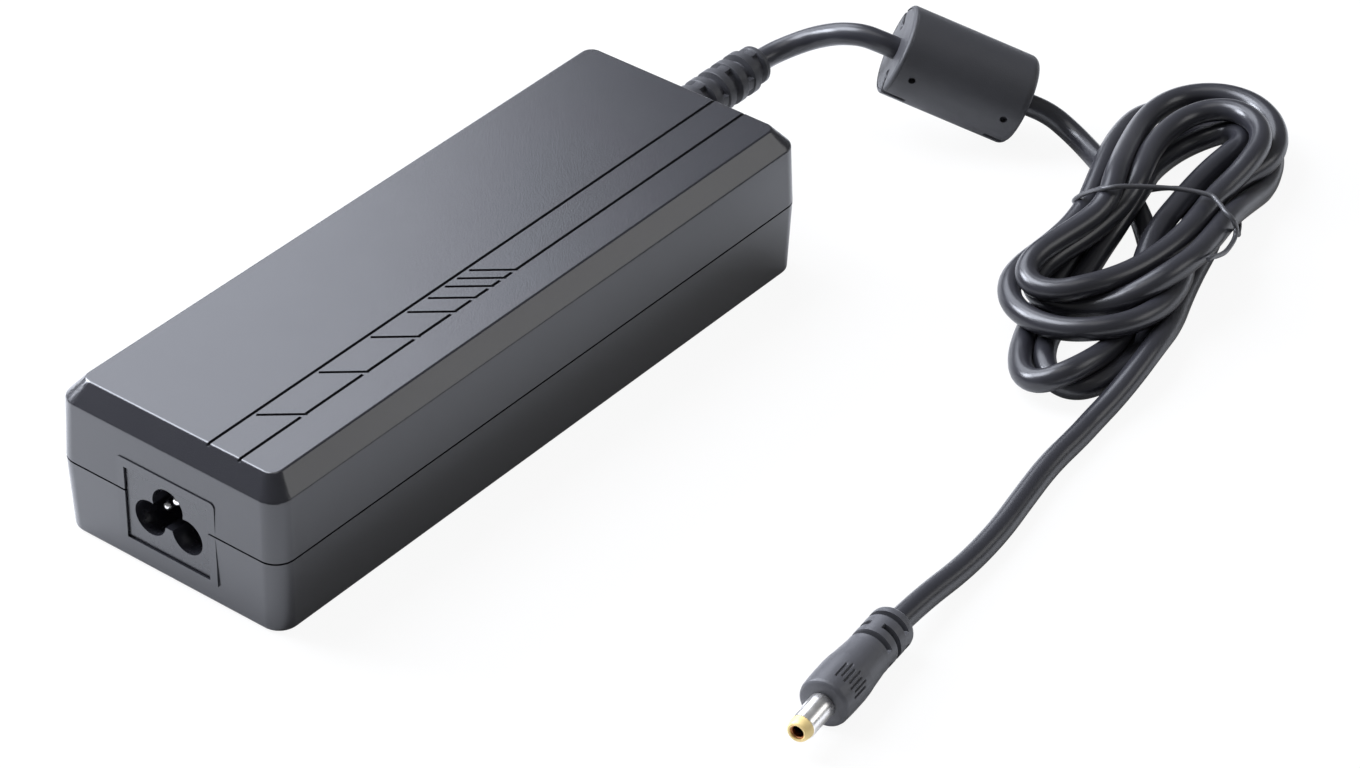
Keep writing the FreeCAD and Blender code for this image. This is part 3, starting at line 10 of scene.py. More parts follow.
import bmesh
import bpy
import numpy as np
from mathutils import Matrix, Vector


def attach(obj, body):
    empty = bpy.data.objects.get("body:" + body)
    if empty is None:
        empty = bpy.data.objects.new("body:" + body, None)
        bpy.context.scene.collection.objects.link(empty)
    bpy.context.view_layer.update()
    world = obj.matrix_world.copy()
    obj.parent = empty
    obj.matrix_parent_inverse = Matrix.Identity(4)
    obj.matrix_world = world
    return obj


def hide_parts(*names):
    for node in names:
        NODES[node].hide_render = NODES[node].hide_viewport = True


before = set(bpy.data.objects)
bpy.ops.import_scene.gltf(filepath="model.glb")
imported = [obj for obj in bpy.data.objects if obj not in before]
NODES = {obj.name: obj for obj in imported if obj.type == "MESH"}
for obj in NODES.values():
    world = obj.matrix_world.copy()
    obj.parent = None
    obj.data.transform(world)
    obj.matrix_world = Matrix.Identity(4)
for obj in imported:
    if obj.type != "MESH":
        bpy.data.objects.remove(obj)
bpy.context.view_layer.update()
MM = 0.001


def mm(values):
    """Millimetres as an array of metres."""
    return np.asarray(values, float) * MM


# %% [markdown]
# The camera stands where the photographer stood.
# Its place was worked out from the straight edges of the case. A long lens from a metre away keeps the
# edges of the case nearly parallel, as in a catalogue picture. The picture is 1360 by 768 pixels, so only
# the lens and the place matter here, and there is no shift and no blur.

# %% Camera
CAMERA_AT = (532.632, -606.453, 588.081)
CAMERA_TURN = (53.97578, -0.69792, 38.27500)
camera_data = bpy.data.cameras.new("camera")
camera_data.lens = 124.916
camera_data.sensor_width = 36.0
camera_data.clip_start = 0.05
camera_data.clip_end = 50.0
camera = bpy.data.objects.new("camera", camera_data)
camera.location = mm(CAMERA_AT)
camera.rotation_euler = [math.radians(degrees) for degrees in CAMERA_TURN]
bpy.context.scene.collection.objects.link(camera)
bpy.context.scene.camera = camera
bpy.context.scene.view_settings.view_transform = "Standard"
print("camera at", tuple(round(v, 3) for v in camera.location))


# %% [markdown]
# A material in Blender is a small graph of nodes. These helpers write such a graph in one line per node.
# The adapter's finishes are all variations of two things: a body colour with a gloss, and a fine relief
# that breaks the gloss up. Noise is read in Object coordinates, which are the metres of the frame, so a
# grain has a true size on every piece.

# %% Material helpers
def new_material(name):
    """An empty node material with a Principled shader, and the tree, the shader and the coordinates."""
    material = bpy.data.materials.new(name)
    material.use_nodes = True
    tree = material.node_tree
    shader = tree.nodes["Principled BSDF"]
    where = tree.nodes.new("ShaderNodeTexCoord").outputs["Object"]
    return material, tree, shader, where


def noise(tree, where, size, detail=2.0):
    """Noise from 0 to 1 whose blotches are about size millimetres wide."""
    node = tree.nodes.new("ShaderNodeTexNoise")
    node.inputs["Scale"].default_value = 1 / (size * MM)
    node.inputs["Detail"].default_value = detail
    tree.links.new(where, node.inputs["Vector"])
    return node.outputs["Fac"]


def spread(tree, value, low, high, start=0.3, end=0.7):
    """A value from start..end brought to low..high."""
    node = tree.nodes.new("ShaderNodeMapRange")
    for name, number in (("From Min", start), ("From Max", end), ("To Min", low), ("To Max", high)):
        node.inputs[name].default_value = number
    tree.links.new(value, node.inputs["Value"])
    return node.outputs["Result"]


def between(tree, factor, first, second):
    """A colour between two, chosen by a factor."""
    node = tree.nodes.new("ShaderNodeMix")
    node.data_type = "RGBA"
    node.inputs["A"].default_value = (*first, 1)
    node.inputs["B"].default_value = (*second, 1)
    tree.links.new(factor, node.inputs["Factor"])
    return node.outputs["Result"]


def relief(tree, height, depth):
    """A bump whose full height is depth millimetres."""
    node = tree.nodes.new("ShaderNodeBump")
    node.inputs["Distance"].default_value = depth * MM
    tree.links.new(height, node.inputs["Height"])
    return node.outputs["Normal"]


def finish_of(name, colours, gloss, grain, metallic=0.0, ior=1.5, tint_size=9.0):
    """A moulded or rolled finish: two close colours in soft blotches, roughness that varies between two
    values, and a fine grain (size, depth)."""
    material, tree, shader, where = new_material(name)
    blotch = noise(tree, where, tint_size, 3.0)
    tree.links.new(between(tree, blotch, *colours), shader.inputs["Base Color"])
    tree.links.new(spread(tree, noise(tree, where, tint_size / 3), *gloss), shader.inputs["Roughness"])
    shader.inputs["Metallic"].default_value = metallic
    shader.inputs["IOR"].default_value = ior
    grain_size, grain_depth = grain
    tree.links.new(relief(tree, noise(tree, where, grain_size), grain_depth), shader.inputs["Normal"])
    return material


# %% [markdown]
# The floor is a plain white sweep that goes on past the picture's edge.
# To the camera, and to what mirrors it, it glows white at strength 1, mixed with a little of its own lit
# surface, so that the adapter still has a faint shadow to stand on. For the soft light that it throws back
# up it is an ordinary white surface.

# %% Floor and background
FLOOR_HALF = 3000.0
FLOOR_DROP = 0.05


def maths(tree, operation, *values):
    """A maths node whose inputs are numbers or the outputs of other nodes."""
    node = tree.nodes.new("ShaderNodeMath")
    node.operation = operation
    for socket, value in zip(node.inputs, values):
        if isinstance(value, float):
            socket.default_value = value
        else:
            tree.links.new(value, socket)
    return node.outputs[0]


def white_for_rays(tree, lit, camera_share, mirror_share):
    """The lit shader mixed with plain white light, for the camera's rays by one share and for mirrored and
    refracted rays by another."""
    rays = tree.nodes.new("ShaderNodeLightPath").outputs
    mirrored = maths(tree, "MAXIMUM", rays["Is Glossy Ray"], rays["Is Transmission Ray"])
    share = maths(tree, "MULTIPLY", mirrored, mirror_share)
    total = maths(tree, "MULTIPLY_ADD", rays["Is Camera Ray"], camera_share, share)
    white = tree.nodes.new("ShaderNodeEmission")
    white.inputs["Strength"].default_value = 1.0
    mix = tree.nodes.new("ShaderNodeMixShader")
    tree.links.new(total, mix.inputs["Fac"])
    tree.links.new(lit, mix.inputs[1])
    tree.links.new(white.outputs[0], mix.inputs[2])
    return mix.outputs[0]


floor_corners = mm([(x, y, -FLOOR_DROP) for x, y in
                    ((-FLOOR_HALF, -FLOOR_HALF), (FLOOR_HALF, -FLOOR_HALF),
                     (FLOOR_HALF, FLOOR_HALF), (-FLOOR_HALF, FLOOR_HALF))])
floor_mesh = bpy.data.meshes.new("floor")
floor_mesh.from_pydata(floor_corners.tolist(), [], [(0, 1, 2, 3)])
floor = bpy.data.objects.new("floor", floor_mesh)
bpy.context.scene.collection.objects.link(floor)
floor_material = bpy.data.materials.new("white_sweep")
floor_material.use_nodes = True
floor_tree = floor_material.node_tree
floor_shader = floor_tree.nodes["Principled BSDF"]
floor_shader.inputs["Base Color"].default_value = (0.86, 0.86, 0.86, 1)
floor_shader.inputs["Roughness"].default_value = 0.9
floor_shader.inputs["IOR"].default_value = 1.2
floor_light = white_for_rays(floor_tree, floor_shader.outputs[0], camera_share=0.92, mirror_share=0.05)
floor_tree.links.new(floor_light, floor_tree.nodes["Material Output"].inputs["Surface"])
floor_mesh.materials.append(floor_material)

world = bpy.data.worlds.new("studio")
bpy.context.scene.world = world
world.use_nodes = True
world_tree = world.node_tree
room = world_tree.nodes["Background"]
room.inputs["Color"].default_value = (0.95, 0.97, 1.0, 1)
room.inputs["Strength"].default_value = 0.17
room_light = white_for_rays(world_tree, room.outputs[0], camera_share=1.0, mirror_share=0.02)
world_tree.links.new(room_light, world_tree.nodes["World Output"].inputs["Surface"])


# %% [markdown]
# The light is that of a catalogue studio: a wide soft box behind the adapter and to its left, whose edge
# the flat top mirrors towards the camera, so that the top is palest at the near end, and one high on the
# left, which draws the bright line along the front edge. A small one lower on the left lights the table
# before the inlet, and the inlet's side mirrors that table, while the case keeps the table on its right in
# shadow. A weak one behind and to the right is for the chamfer there, and another is overhead. The front
# gets none, so its chamfer is dark.

# %% Lamps
def soft_box(name, azimuth, elevation, distance, size, power, colour=(1, 1, 1), target=(35, 40, 15)):
    """A rectangular lamp at a distance from its target, turned towards it. Azimuth is counted from +Y towards
    -X, and distances are in millimetres."""
    turn, rise = math.radians(azimuth), math.radians(elevation)
    back = np.array([-math.sin(turn) * math.cos(rise), math.cos(turn) * math.cos(rise), math.sin(rise)])
    data = bpy.data.lights.new(name, "AREA")
    data.shape = "RECTANGLE"
    data.size, data.size_y = mm(size)
    data.energy = power
    data.color = colour
    lamp = bpy.data.objects.new(name, data)
    lamp.location = mm(target) + back * distance * MM
    lamp.rotation_mode = "QUATERNION"
    lamp.rotation_quaternion = Vector(back).to_track_quat("Z", "Y")
    bpy.context.scene.collection.objects.link(lamp)


COOL = (0.86, 0.90, 1.0)
soft_box("key_box", 64, 37, 1300, (850, 850), 8.2, COOL)
soft_box("left_box", 94, 60, 800, (450, 420), 7, COOL, target=(30, -60, 0))
soft_box("low_box", 93, 34, 600, (300, 250), 6.5, COOL, target=(-20, -125, 0))
soft_box("rim_box", -48, 26, 1400, (700, 500), 1.9)
soft_box("top_box", 0, 86, 1500, (900, 900), 3)


# %% [markdown]
# The lead is one cord from the strain relief to the plug: out of the sleeve, up into the ferrite bead, down
# to the table, five turns in a tied hank, and on to the plug. It could be drawn as a mesh, but a NURBS
# curve with a round bevel is what Blender has for it: the control points pull the line without it passing
# through them, so it bends as softly as a real lead. Outside the hank too, the points follow the lead in
# the photograph.

# %% The cord's route outside the hank
CORD_RADIUS = 2.6
CORD_EXIT = (-10.8, 121.2, 17.9)
TO_BEAD = [CORD_EXIT, (-10.8, 125.6, 17.9), (-8.5, 130.8, 18.9), (-5.1, 133.9, 20.7), (-1.2, 135.3, 22.6),
           (2.7, 136.0, 24.2), (7.3, 137.4, 24.9), (11.1, 138.9, 23.9)]
BEAD_LEFT = np.array((14.0, 140.8, 22.4))
BEAD_RIGHT = np.array((38.1, 157.1, 9.8))
TO_HANK = [(43.5, 160.8, 7.0), (49.5, 161.6, 3.7), (57.0, 158.8, 2.6), (63.5, 155.0, 2.6)]
PLUG_START = np.array((124.248, -10.162, 5.226))
PLUG_AXIS = np.array((0.137053, -0.990381, 0.019007))
TO_PLUG = [(115.2, 68.0, 2.6), (116.0, 56.0, 2.6), (118.3, 44.0, 2.6), (121.0, 31.0, 2.6), (122.4, 17.0, 2.7),
           (123.0, 3.0, 4.2), PLUG_START, PLUG_START + 3 * PLUG_AXIS]

# %% [markdown]
# A turn of the hank is a long loop: two sides drawn together at the tie and a round bend at each end. No
# two turns of a lead wound by hand are alike, so each has points of its own, followed from strand to strand
# in the photograph. Which strand lies on which gives the heights: the lowest lie on the table at 2.6 mm,
# and beyond the tie the way out passes underneath the turns again.

# %% The hank's turns
TURNS = [
    # in along the table under the others, round the lowest near bend, back up the middle and hairpin
    [(68.9, 151.9, 2.6), (75.2, 148.3, 2.6), (82.4, 141.8, 2.6), (89.7, 133.7, 2.6), (96.6, 125.2, 2.6),
     (102.2, 116.1, 2.6), (106.7, 106.2, 2.6), (108.9, 96.2, 2.6), (108.3, 87.5, 2.6), (106.1, 82.1, 2.6),
     (101.8, 80.4, 2.6), (96.3, 82.9, 3.0), (91.9, 89.0, 3.1), (88.7, 97.6, 2.6), (85.7, 107.2, 2.6),
     (83.1, 117.2, 2.9), (80.8, 126.5, 3.6), (79.3, 134.6, 4.6), (78.3, 142.0, 7.2), (76.7, 149.1, 7.7),
     (73.9, 156.1, 5.9), (72.3, 163.9, 4.4), (72.2, 171.6, 3.8), (74.0, 177.8, 4.1), (77.5, 181.6, 5.6),
     (81.5, 181.3, 7.0)],
    # down beside it, round the second low bend, back along the table and round underneath
    [(84.3, 178.2, 6.9), (84.0, 172.9, 6.6), (83.8, 165.8, 6.0), (84.6, 157.5, 5.8), (86.4, 148.5, 6.5),
     (88.5, 138.9, 7.4), (91.2, 129.9, 7.6), (94.5, 121.8, 6.4), (98.2, 114.1, 5.2), (101.7, 106.2, 4.5),
     (104.4, 97.3, 4.9), (105.5, 87.4, 7.1), (104.4, 79.0, 7.8), (100.5, 74.8, 5.8), (95.2, 76.0, 4.5),
     (90.3, 81.9, 3.8), (86.1, 90.3, 3.1), (82.8, 99.5, 2.6), (80.0, 108.9, 2.6), (77.6, 118.1, 2.6),
     (75.8, 126.8, 2.6), (74.5, 134.8, 3.0), (73.6, 141.9, 5.0), (71.6, 148.4, 7.8), (69.0, 155.8, 7.0),
     (67.2, 164.4, 4.2), (67.4, 172.9, 2.7), (69.5, 180.0, 2.6), (73.7, 184.8, 2.9), (79.1, 185.9, 2.9),
     (84.2, 182.8, 2.6)],
    # down the right, the outer near bend, up the left and round the far end, outside and low
    [(87.8, 176.7, 2.6), (89.0, 169.4, 2.6), (88.5, 161.1, 2.6), (89.4, 151.9, 3.0), (93.4, 141.8, 5.3),
     (99.4, 131.6, 7.3), (105.2, 121.3, 8.4), (107.5, 110.2, 9.0), (106.4, 100.1, 10.0), (102.1, 92.9, 10.3),
     (95.5, 89.5, 9.2), (87.6, 89.4, 8.3), (80.4, 92.5, 7.8), (75.5, 98.8, 7.5), (73.3, 106.6, 6.7),
     (73.3, 115.8, 6.4), (73.1, 125.3, 6.6), (71.6, 134.2, 7.1), (68.6, 142.2, 7.6), (65.7, 149.7, 7.7),
     (62.7, 157.9, 7.5), (60.0, 166.8, 6.4), (58.7, 174.9, 5.3), (59.9, 181.6, 3.9), (63.3, 186.6, 2.7),
     (67.8, 190.2, 2.6), (73.2, 192.1, 2.7), (79.3, 191.8, 2.7), (85.7, 188.4, 2.6), (91.1, 181.5, 2.6)],
    # down the right again, the near bend inside the last one, up the left and round the inner far bend
    [(95.2, 171.2, 2.6), (97.5, 159.6, 6.1), (100.0, 147.9, 9.5), (103.1, 136.2, 11.4), (105.5, 125.4, 13.1),
     (105.2, 115.7, 13.7), (102.7, 108.4, 11.8), (98.0, 103.0, 8.8), (91.4, 99.5, 7.6), (85.0, 98.3, 7.6),
     (80.4, 100.6, 7.8), (78.3, 106.3, 8.0), (78.0, 113.8, 7.9), (78.8, 121.9, 8.0), (79.3, 129.2, 8.8),
     (79.6, 135.2, 10.1), (79.3, 140.5, 11.8), (77.4, 146.7, 12.7), (73.9, 155.2, 11.6), (71.1, 165.0, 10.5),
     (70.8, 174.0, 10.2), (73.8, 180.4, 10.7), (79.6, 182.9, 11.6), (86.6, 180.6, 12.0), (91.7, 174.1, 12.4),
     (93.5, 165.8, 12.0)],
    # down the middle, the topmost near bend, over the left side and round the outer far bend
    [(93.9, 157.6, 10.8), (94.4, 149.9, 10.7), (96.2, 142.4, 11.3), (98.0, 134.1, 12.0), (98.6, 124.6, 12.2),
     (97.9, 115.0, 12.4), (96.0, 106.8, 12.9), (93.2, 100.6, 13.2), (89.3, 96.8, 12.3), (84.2, 95.7, 11.8),
     (79.8, 98.2, 12.4), (78.3, 104.1, 13.0), (78.7, 111.8, 13.0), (79.6, 119.3, 13.2), (80.1, 126.0, 13.8),
     (78.9, 132.1, 14.8), (75.4, 139.2, 14.9), (71.5, 148.3, 13.3), (67.5, 158.0, 11.2), (64.1, 167.3, 9.4),
     (62.5, 175.8, 8.6), (63.5, 183.0, 8.3), (67.3, 188.2, 8.5), (73.2, 191.0, 8.9), (80.1, 190.9, 9.0),
     (86.8, 187.5, 8.6), (91.7, 181.4, 7.8)],
]
OUT_OF_HANK = [
    (93.5, 174.0, 7.5), (91.8, 166.0, 7.0), (92.5, 158.0, 5.7), (95.4, 150.6, 4.0), (98.1, 142.9, 2.7),
    (100.7, 133.8, 2.6), (104.4, 123.2, 3.0), (109.3, 111.7, 4.5), (112.0, 101.0, 6.0), (113.5, 91.4, 5.1),
    (114.1, 82.5, 3.5), (114.4, 74.5, 2.6),
]
hank = [point for turn in TURNS for point in turn] + OUT_OF_HANK
print("points in each turn:", [len(turn) for turn in TURNS])

# %% [markdown]
# The order of the spline and its closed ends are set after the points are there. Set before, Blender drops
# the order to 2, and the cord becomes a row of straight rods.

# %% The cord
route = mm(TO_BEAD + [BEAD_LEFT, (BEAD_LEFT + BEAD_RIGHT) / 2, BEAD_RIGHT] + TO_HANK + hank + TO_PLUG)
cord_curve = bpy.data.curves.new("cord", "CURVE")
cord_curve.dimensions = "3D"
cord_curve.bevel_depth = CORD_RADIUS * MM
cord_curve.bevel_resolution = 10
cord_curve.resolution_u = 12
spline = cord_curve.splines.new("NURBS")
spline.points.add(len(route) - 1)
spline.points.foreach_set("co", np.column_stack([route, np.ones(len(route))]).ravel())
spline.order_u = 3
spline.use_endpoint_u = True
cord = bpy.data.objects.new("cord", cord_curve)
bpy.context.scene.collection.objects.link(cord)


def centreline(curve):
    """The points of a curve's own line, in millimetres: the line without its bevel, turned into a mesh."""
    bare = curve.copy()
    bare.bevel_depth = 0.0
    holder = bpy.data.objects.new("bare_line", bare)
    mesh = bpy.data.meshes.new_from_object(holder)
    points = np.empty(len(mesh.vertices) * 3)
    mesh.vertices.foreach_get("co", points)
    bpy.data.objects.remove(holder)
    bpy.data.meshes.remove(mesh)
    bpy.data.curves.remove(bare)
    return points.reshape(-1, 3) / MM


cord_line = centreline(cord_curve)
cord_steps = np.linalg.norm(np.diff(cord_line, axis=0), axis=1)
print("cord length", round(float(cord_steps.sum()), 1), "lowest", round(float(cord_line[:, 2].min()), 2))

# %% [markdown]
# The jacket is black PVC. Its gloss is soft enough that a lamp becomes one broad pale line along each
# strand, so roughness does the work here, and the relief is very slight.

# %% Cord finish
cord_pvc = finish_of("cord_pvc", ((0.021, 0.021, 0.026), (0.029, 0.029, 0.035)), (0.28, 0.31), (2.5, 0.003),
                     ior=1.58)
cord_curve.materials.append(cord_pvc)
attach(cord, "root")
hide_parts("cord_first_stretch", "cord_bead_run", "cord_second_stretch", "cord_hank",
            "cord_last_stretch")


# %% [markdown]
# Every new piece below is a grid of points worked out as whole arrays: rings across the piece, one after
# the other along it. The helpers here join the rings into faces, close the ends and hand the mesh to
# Blender. Which way the faces look is tested by the volume that they enclose: it is negative if they look
# inwards.

# %% Mesh helpers
def grid_faces(rows, columns, closed):
    """Quads of a grid: each point with the next in its ring and the two in the ring after. Rings close on
    themselves, and if closed, the last ring joins the first."""
    i, j = np.meshgrid(np.arange(rows if closed else rows - 1), np.arange(columns), indexing="ij")
    after = (i + 1) % rows
    beside = (j + 1) % columns
    return np.stack([i * columns + j, i * columns + beside, after * columns + beside, after * columns + j],
                    axis=-1).reshape(-1, 4)


def enclosed_volume(points, quads):
    """A sixth of the sum of the triple products of the two triangles in each quad."""
    a, b, c, d = (points[quads[:, k]] for k in range(4))
    return (a * (np.cross(b, c) + np.cross(c, d))).sum() / 6


def add_piece(name, grid, material, replaced=(), closed=False, sharp=40.0):
    """A piece from a grid of rings in millimetres, shape (rings, points, 3). Open ends are closed by one face
    each. Edges sharper than an angle stay sharp."""
    rows, columns = grid.shape[:2]
    points = grid.reshape(-1, 3)
    quads = grid_faces(rows, columns, closed)
    inside_out = enclosed_volume(points - points.mean(axis=0), quads) < 0
    faces = quads[:, ::-1].tolist() if inside_out else quads.tolist()
    if not closed:
        first = list(range(columns))
        last = list(range((rows - 1) * columns, rows * columns))
        faces += [first, last[::-1]] if inside_out else [first[::-1], last]
    mesh = bpy.data.meshes.new(name)
    mesh.from_pydata((points * MM).tolist(), [], faces)
    mesh.shade_smooth()
    mesh.set_sharp_from_angle(angle=math.radians(sharp))
    mesh.materials.append(material)
    piece = bpy.data.objects.new(name, mesh)
    bpy.context.scene.collection.objects.link(piece)
    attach(piece, "root")
    if replaced:
        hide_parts(*replaced)
    print(name, "faces", len(faces))
    return piece


def soft_step(value, low, high):
    """Rises from 0 at low to 1 at high along a smooth S curve."""
    t = np.clip((value - low) / (high - low), 0.0, 1.0)
    return t * t * (3 - 2 * t)


def band(value, start, end, edge):
    """1 between start and end and 0 outside, with a smooth edge on each side, inside the band."""
    return soft_step(value, start, start + edge) * (1 - soft_step(value, end - edge, end))


def turned(start, axis, side, up, along, radius, angle):
    """Points of a turned surface: from start along the axis, and radius out in the direction that lies at an
    angle from side towards up. The three arrays have one shape."""
    return (start + along[..., None] * axis
            + radius[..., None] * (np.cos(angle)[..., None] * side + np.sin(angle)[..., None] * up))


def steps_of(stops, spacing):
    """Values that run through the stops, no further apart than spacing."""
    stops = np.asarray(stops, float)
    parts = [np.linspace(a, b, max(2, int(np.ceil((b - a) / spacing)) + 1))[:-1]
             for a, b in zip(stops, stops[1:])]
    return np.concatenate(parts + [stops[-1:]])


# %% [markdown]
# The strain relief is a rubber sleeve moulded onto the lead. Its rings are joined by short webs that change
# sides from ring to ring, so that it can bend every way. It is a single surface: the radius is the core's,
# raised to the ring's where there is a ring or a web. The core tapers towards the lead.

# %% Strain relief
RELIEF_FROM = 79.1
RELIEF_END = 121.2
WALL_INNER = 82.1
CASE_BACK = 84.3
# Along y: the flange inside the case's wall, the neck that fills the hole in it, and the core outside.
RELIEF_OUTLINE = np.array(((RELIEF_FROM, 7.2), (WALL_INNER, 7.2), (WALL_INNER + 0.2, 5.5),
                           (CASE_BACK + 1.0, 5.5), (CASE_BACK + 1.1, 3.9), (RELIEF_END, 3.5)))
RELIEF_SPACING = 0.14
RELIEF_POINTS = 144
# The radius of the sleeve's bore is this much smaller than the cord's, so that no gap shows.
SLEEVE_BITE = 0.02
RIB_PITCH = 4.6
RIB_COUNT = 7
RIB_HALF = 1.4
RIB_RADIUS = 5.2
LAST_RIB_RADIUS = 4.55
LAST_RIB_CENTRE = 120.3
WEB_HALF = 1.5
WEB_INSET = 0.35
RIB_EDGE = 0.35


def relief_radius(y, angle):
    """The core's radius, which shrinks steadily along y, or the largest of the rings and webs over it."""
    radius = np.interp(y, *RELIEF_OUTLINE.T)
    for index in range(RIB_COUNT):
        centre = LAST_RIB_CENTRE - index * RIB_PITCH
        top = RIB_RADIUS if index else LAST_RIB_RADIUS
        half = RIB_HALF if index else RELIEF_END - LAST_RIB_CENTRE
        ring = band(y, centre - half, centre + half, RIB_EDGE)
        across = np.abs(np.cos(angle)) if index % 2 == 0 else np.abs(np.sin(angle))
        web = 1 - soft_step(across * top, WEB_HALF - 0.2, WEB_HALF + 0.3)
        web = web * band(y, centre - RIB_PITCH, centre, RIB_EDGE)
        raised = radius + np.maximum(ring * (top - radius), web * (top - WEB_INSET - radius))
        radius = np.maximum(radius, raised)
    return radius


relief_y = steps_of(RELIEF_OUTLINE[:, 0], RELIEF_SPACING)
relief_angle = np.linspace(0, 2 * np.pi, RELIEF_POINTS, endpoint=False)
y_grid, angle_grid = np.meshgrid(relief_y, relief_angle, indexing="ij")
outside = relief_radius(y_grid, angle_grid)
bore = np.full((2, RELIEF_POINTS), CORD_RADIUS - SLEEVE_BITE)
relief_origin = np.array((CORD_EXIT[0], 0.0, CORD_EXIT[2]))
x_way, y_way, z_way = np.eye(3)
relief_grid = turned(relief_origin, y_way, x_way, z_way, np.concatenate([y_grid, y_grid[-1:], y_grid[:1]]),
                     np.concatenate([outside, bore]), np.concatenate([angle_grid, angle_grid[:2]]))
relief_rubber = finish_of("relief_rubber", ((0.030, 0.030, 0.034), (0.042, 0.042, 0.047)), (0.42, 0.55),
                          (0.30, 0.03))
strain_relief = add_piece("strain_relief_sleeve", relief_grid, relief_rubber,
                          ["strain_relief"], closed=True)

# %% [markdown]
# The bead is a ferrite tube in a plastic cover. The cover is a short fat drum. Its edge is fairly sharp at
# the adapter's end and rounder at the other. Pins held the ferrite in the mould, and they left three holes
# near each end, and there is a slot in the rim at two places. The profile runs from the cord out over one
# end, along the side and back in over the other end, and the holes and slots are pushed into it.

# %% Bead shape
BEAD_RADIUS = 10.7
BEAD_LENGTH = float(np.linalg.norm(BEAD_RIGHT - BEAD_LEFT))
BEAD_AXIS = (BEAD_RIGHT - BEAD_LEFT) / BEAD_LENGTH
BEAD_SIDE = np.cross(BEAD_AXIS, (0, 0, 1.0))
BEAD_SIDE /= np.linalg.norm(BEAD_SIDE)
BEAD_UP = np.cross(BEAD_SIDE, BEAD_AXIS)
LEFT_ROUNDING = 0.8
RIGHT_ROUNDING = 2.0
HOLE_RADIUS = 0.75
HOLE_DEPTH = 1.5
HOLE_INSET = 4.4
HOLE_ANGLES = np.radians((0.0, 120.0, 240.0))
SLOT_ANGLES = np.radians((-42.0, 152.0))
SLOT_HALF = 0.8
SLOT_LENGTH = 6.0
SLOT_REACH = 5.0
SLOT_DEPTH = 1.1
END_SPACING = 0.35
FINE_SPACING = 0.13
COARSE_SPACING = 0.8
MARK_ARC = 0.11
MARK_POINTS = 20
ARC_SPACING = 0.07
# Added to a distance, this takes a point out of reach of a hole or a slot.
FAR = 100.0


def bead_profile():
    """Distance along the axis and radius, from the cord's surface out over the left end, along the side and
    in over the right end. The corners are quarter circles. The left one's points run from the side to the
    end, against the rest, so its faces look inwards and lie over two narrow rings of hidden faces."""
    turn = np.linspace(0, np.pi / 2, 9)
    left_along = LEFT_ROUNDING * (1 - np.sin(turn))
    left_radius = BEAD_RADIUS - LEFT_ROUNDING * (1 - np.cos(turn))
    right_along = BEAD_LENGTH - RIGHT_ROUNDING * (1 - np.sin(turn))
    right_radius = BEAD_RADIUS - RIGHT_ROUNDING * (1 - np.cos(turn))
    slot_foot = BEAD_RADIUS - SLOT_REACH - 0.3
    outwards = steps_of((CORD_RADIUS, slot_foot, BEAD_RADIUS - LEFT_ROUNDING), END_SPACING)[:-1]
    inwards = steps_of((CORD_RADIUS, slot_foot, BEAD_RADIUS - RIGHT_ROUNDING), END_SPACING)[:-1]
    ends = SLOT_LENGTH + 0.4
    fine = steps_of((LEFT_ROUNDING, ends), FINE_SPACING)
    coarse = steps_of((ends, BEAD_LENGTH - ends), COARSE_SPACING)
    side = np.concatenate([fine, coarse[1:-1], BEAD_LENGTH - fine[::-1]])
    side = side[side < BEAD_LENGTH - RIGHT_ROUNDING]
    along = np.concatenate([np.zeros(len(outwards)), left_along, side[1:], right_along,
                            np.full(len(inwards), BEAD_LENGTH)])
    radius = np.concatenate([outwards, left_radius, np.full(len(side) - 1, BEAD_RADIUS), right_radius,
                             inwards[::-1]])
    return along, radius


def bead_angles():
    """Angles round the bead, close together at the pin holes and the slots."""
    marks = np.sort(np.concatenate([HOLE_ANGLES, SLOT_ANGLES % (2 * np.pi)]))
    stops = np.concatenate([[mark - MARK_ARC, mark + MARK_ARC] for mark in marks])
    stops = np.append(stops, stops[0] + 2 * np.pi)
    parts = []
    for index, (a, b) in enumerate(zip(stops, stops[1:])):
        at_mark = index % 2 == 0
        count = MARK_POINTS if at_mark else max(3, int((b - a) / ARC_SPACING))
        parts.append(np.linspace(a, b, count, endpoint=False))
    return np.concatenate(parts)


def angle_from(angle, mark):
    """How far an angle is past a mark, from -pi to pi."""
    return np.angle(np.exp(1j * (angle - mark)))


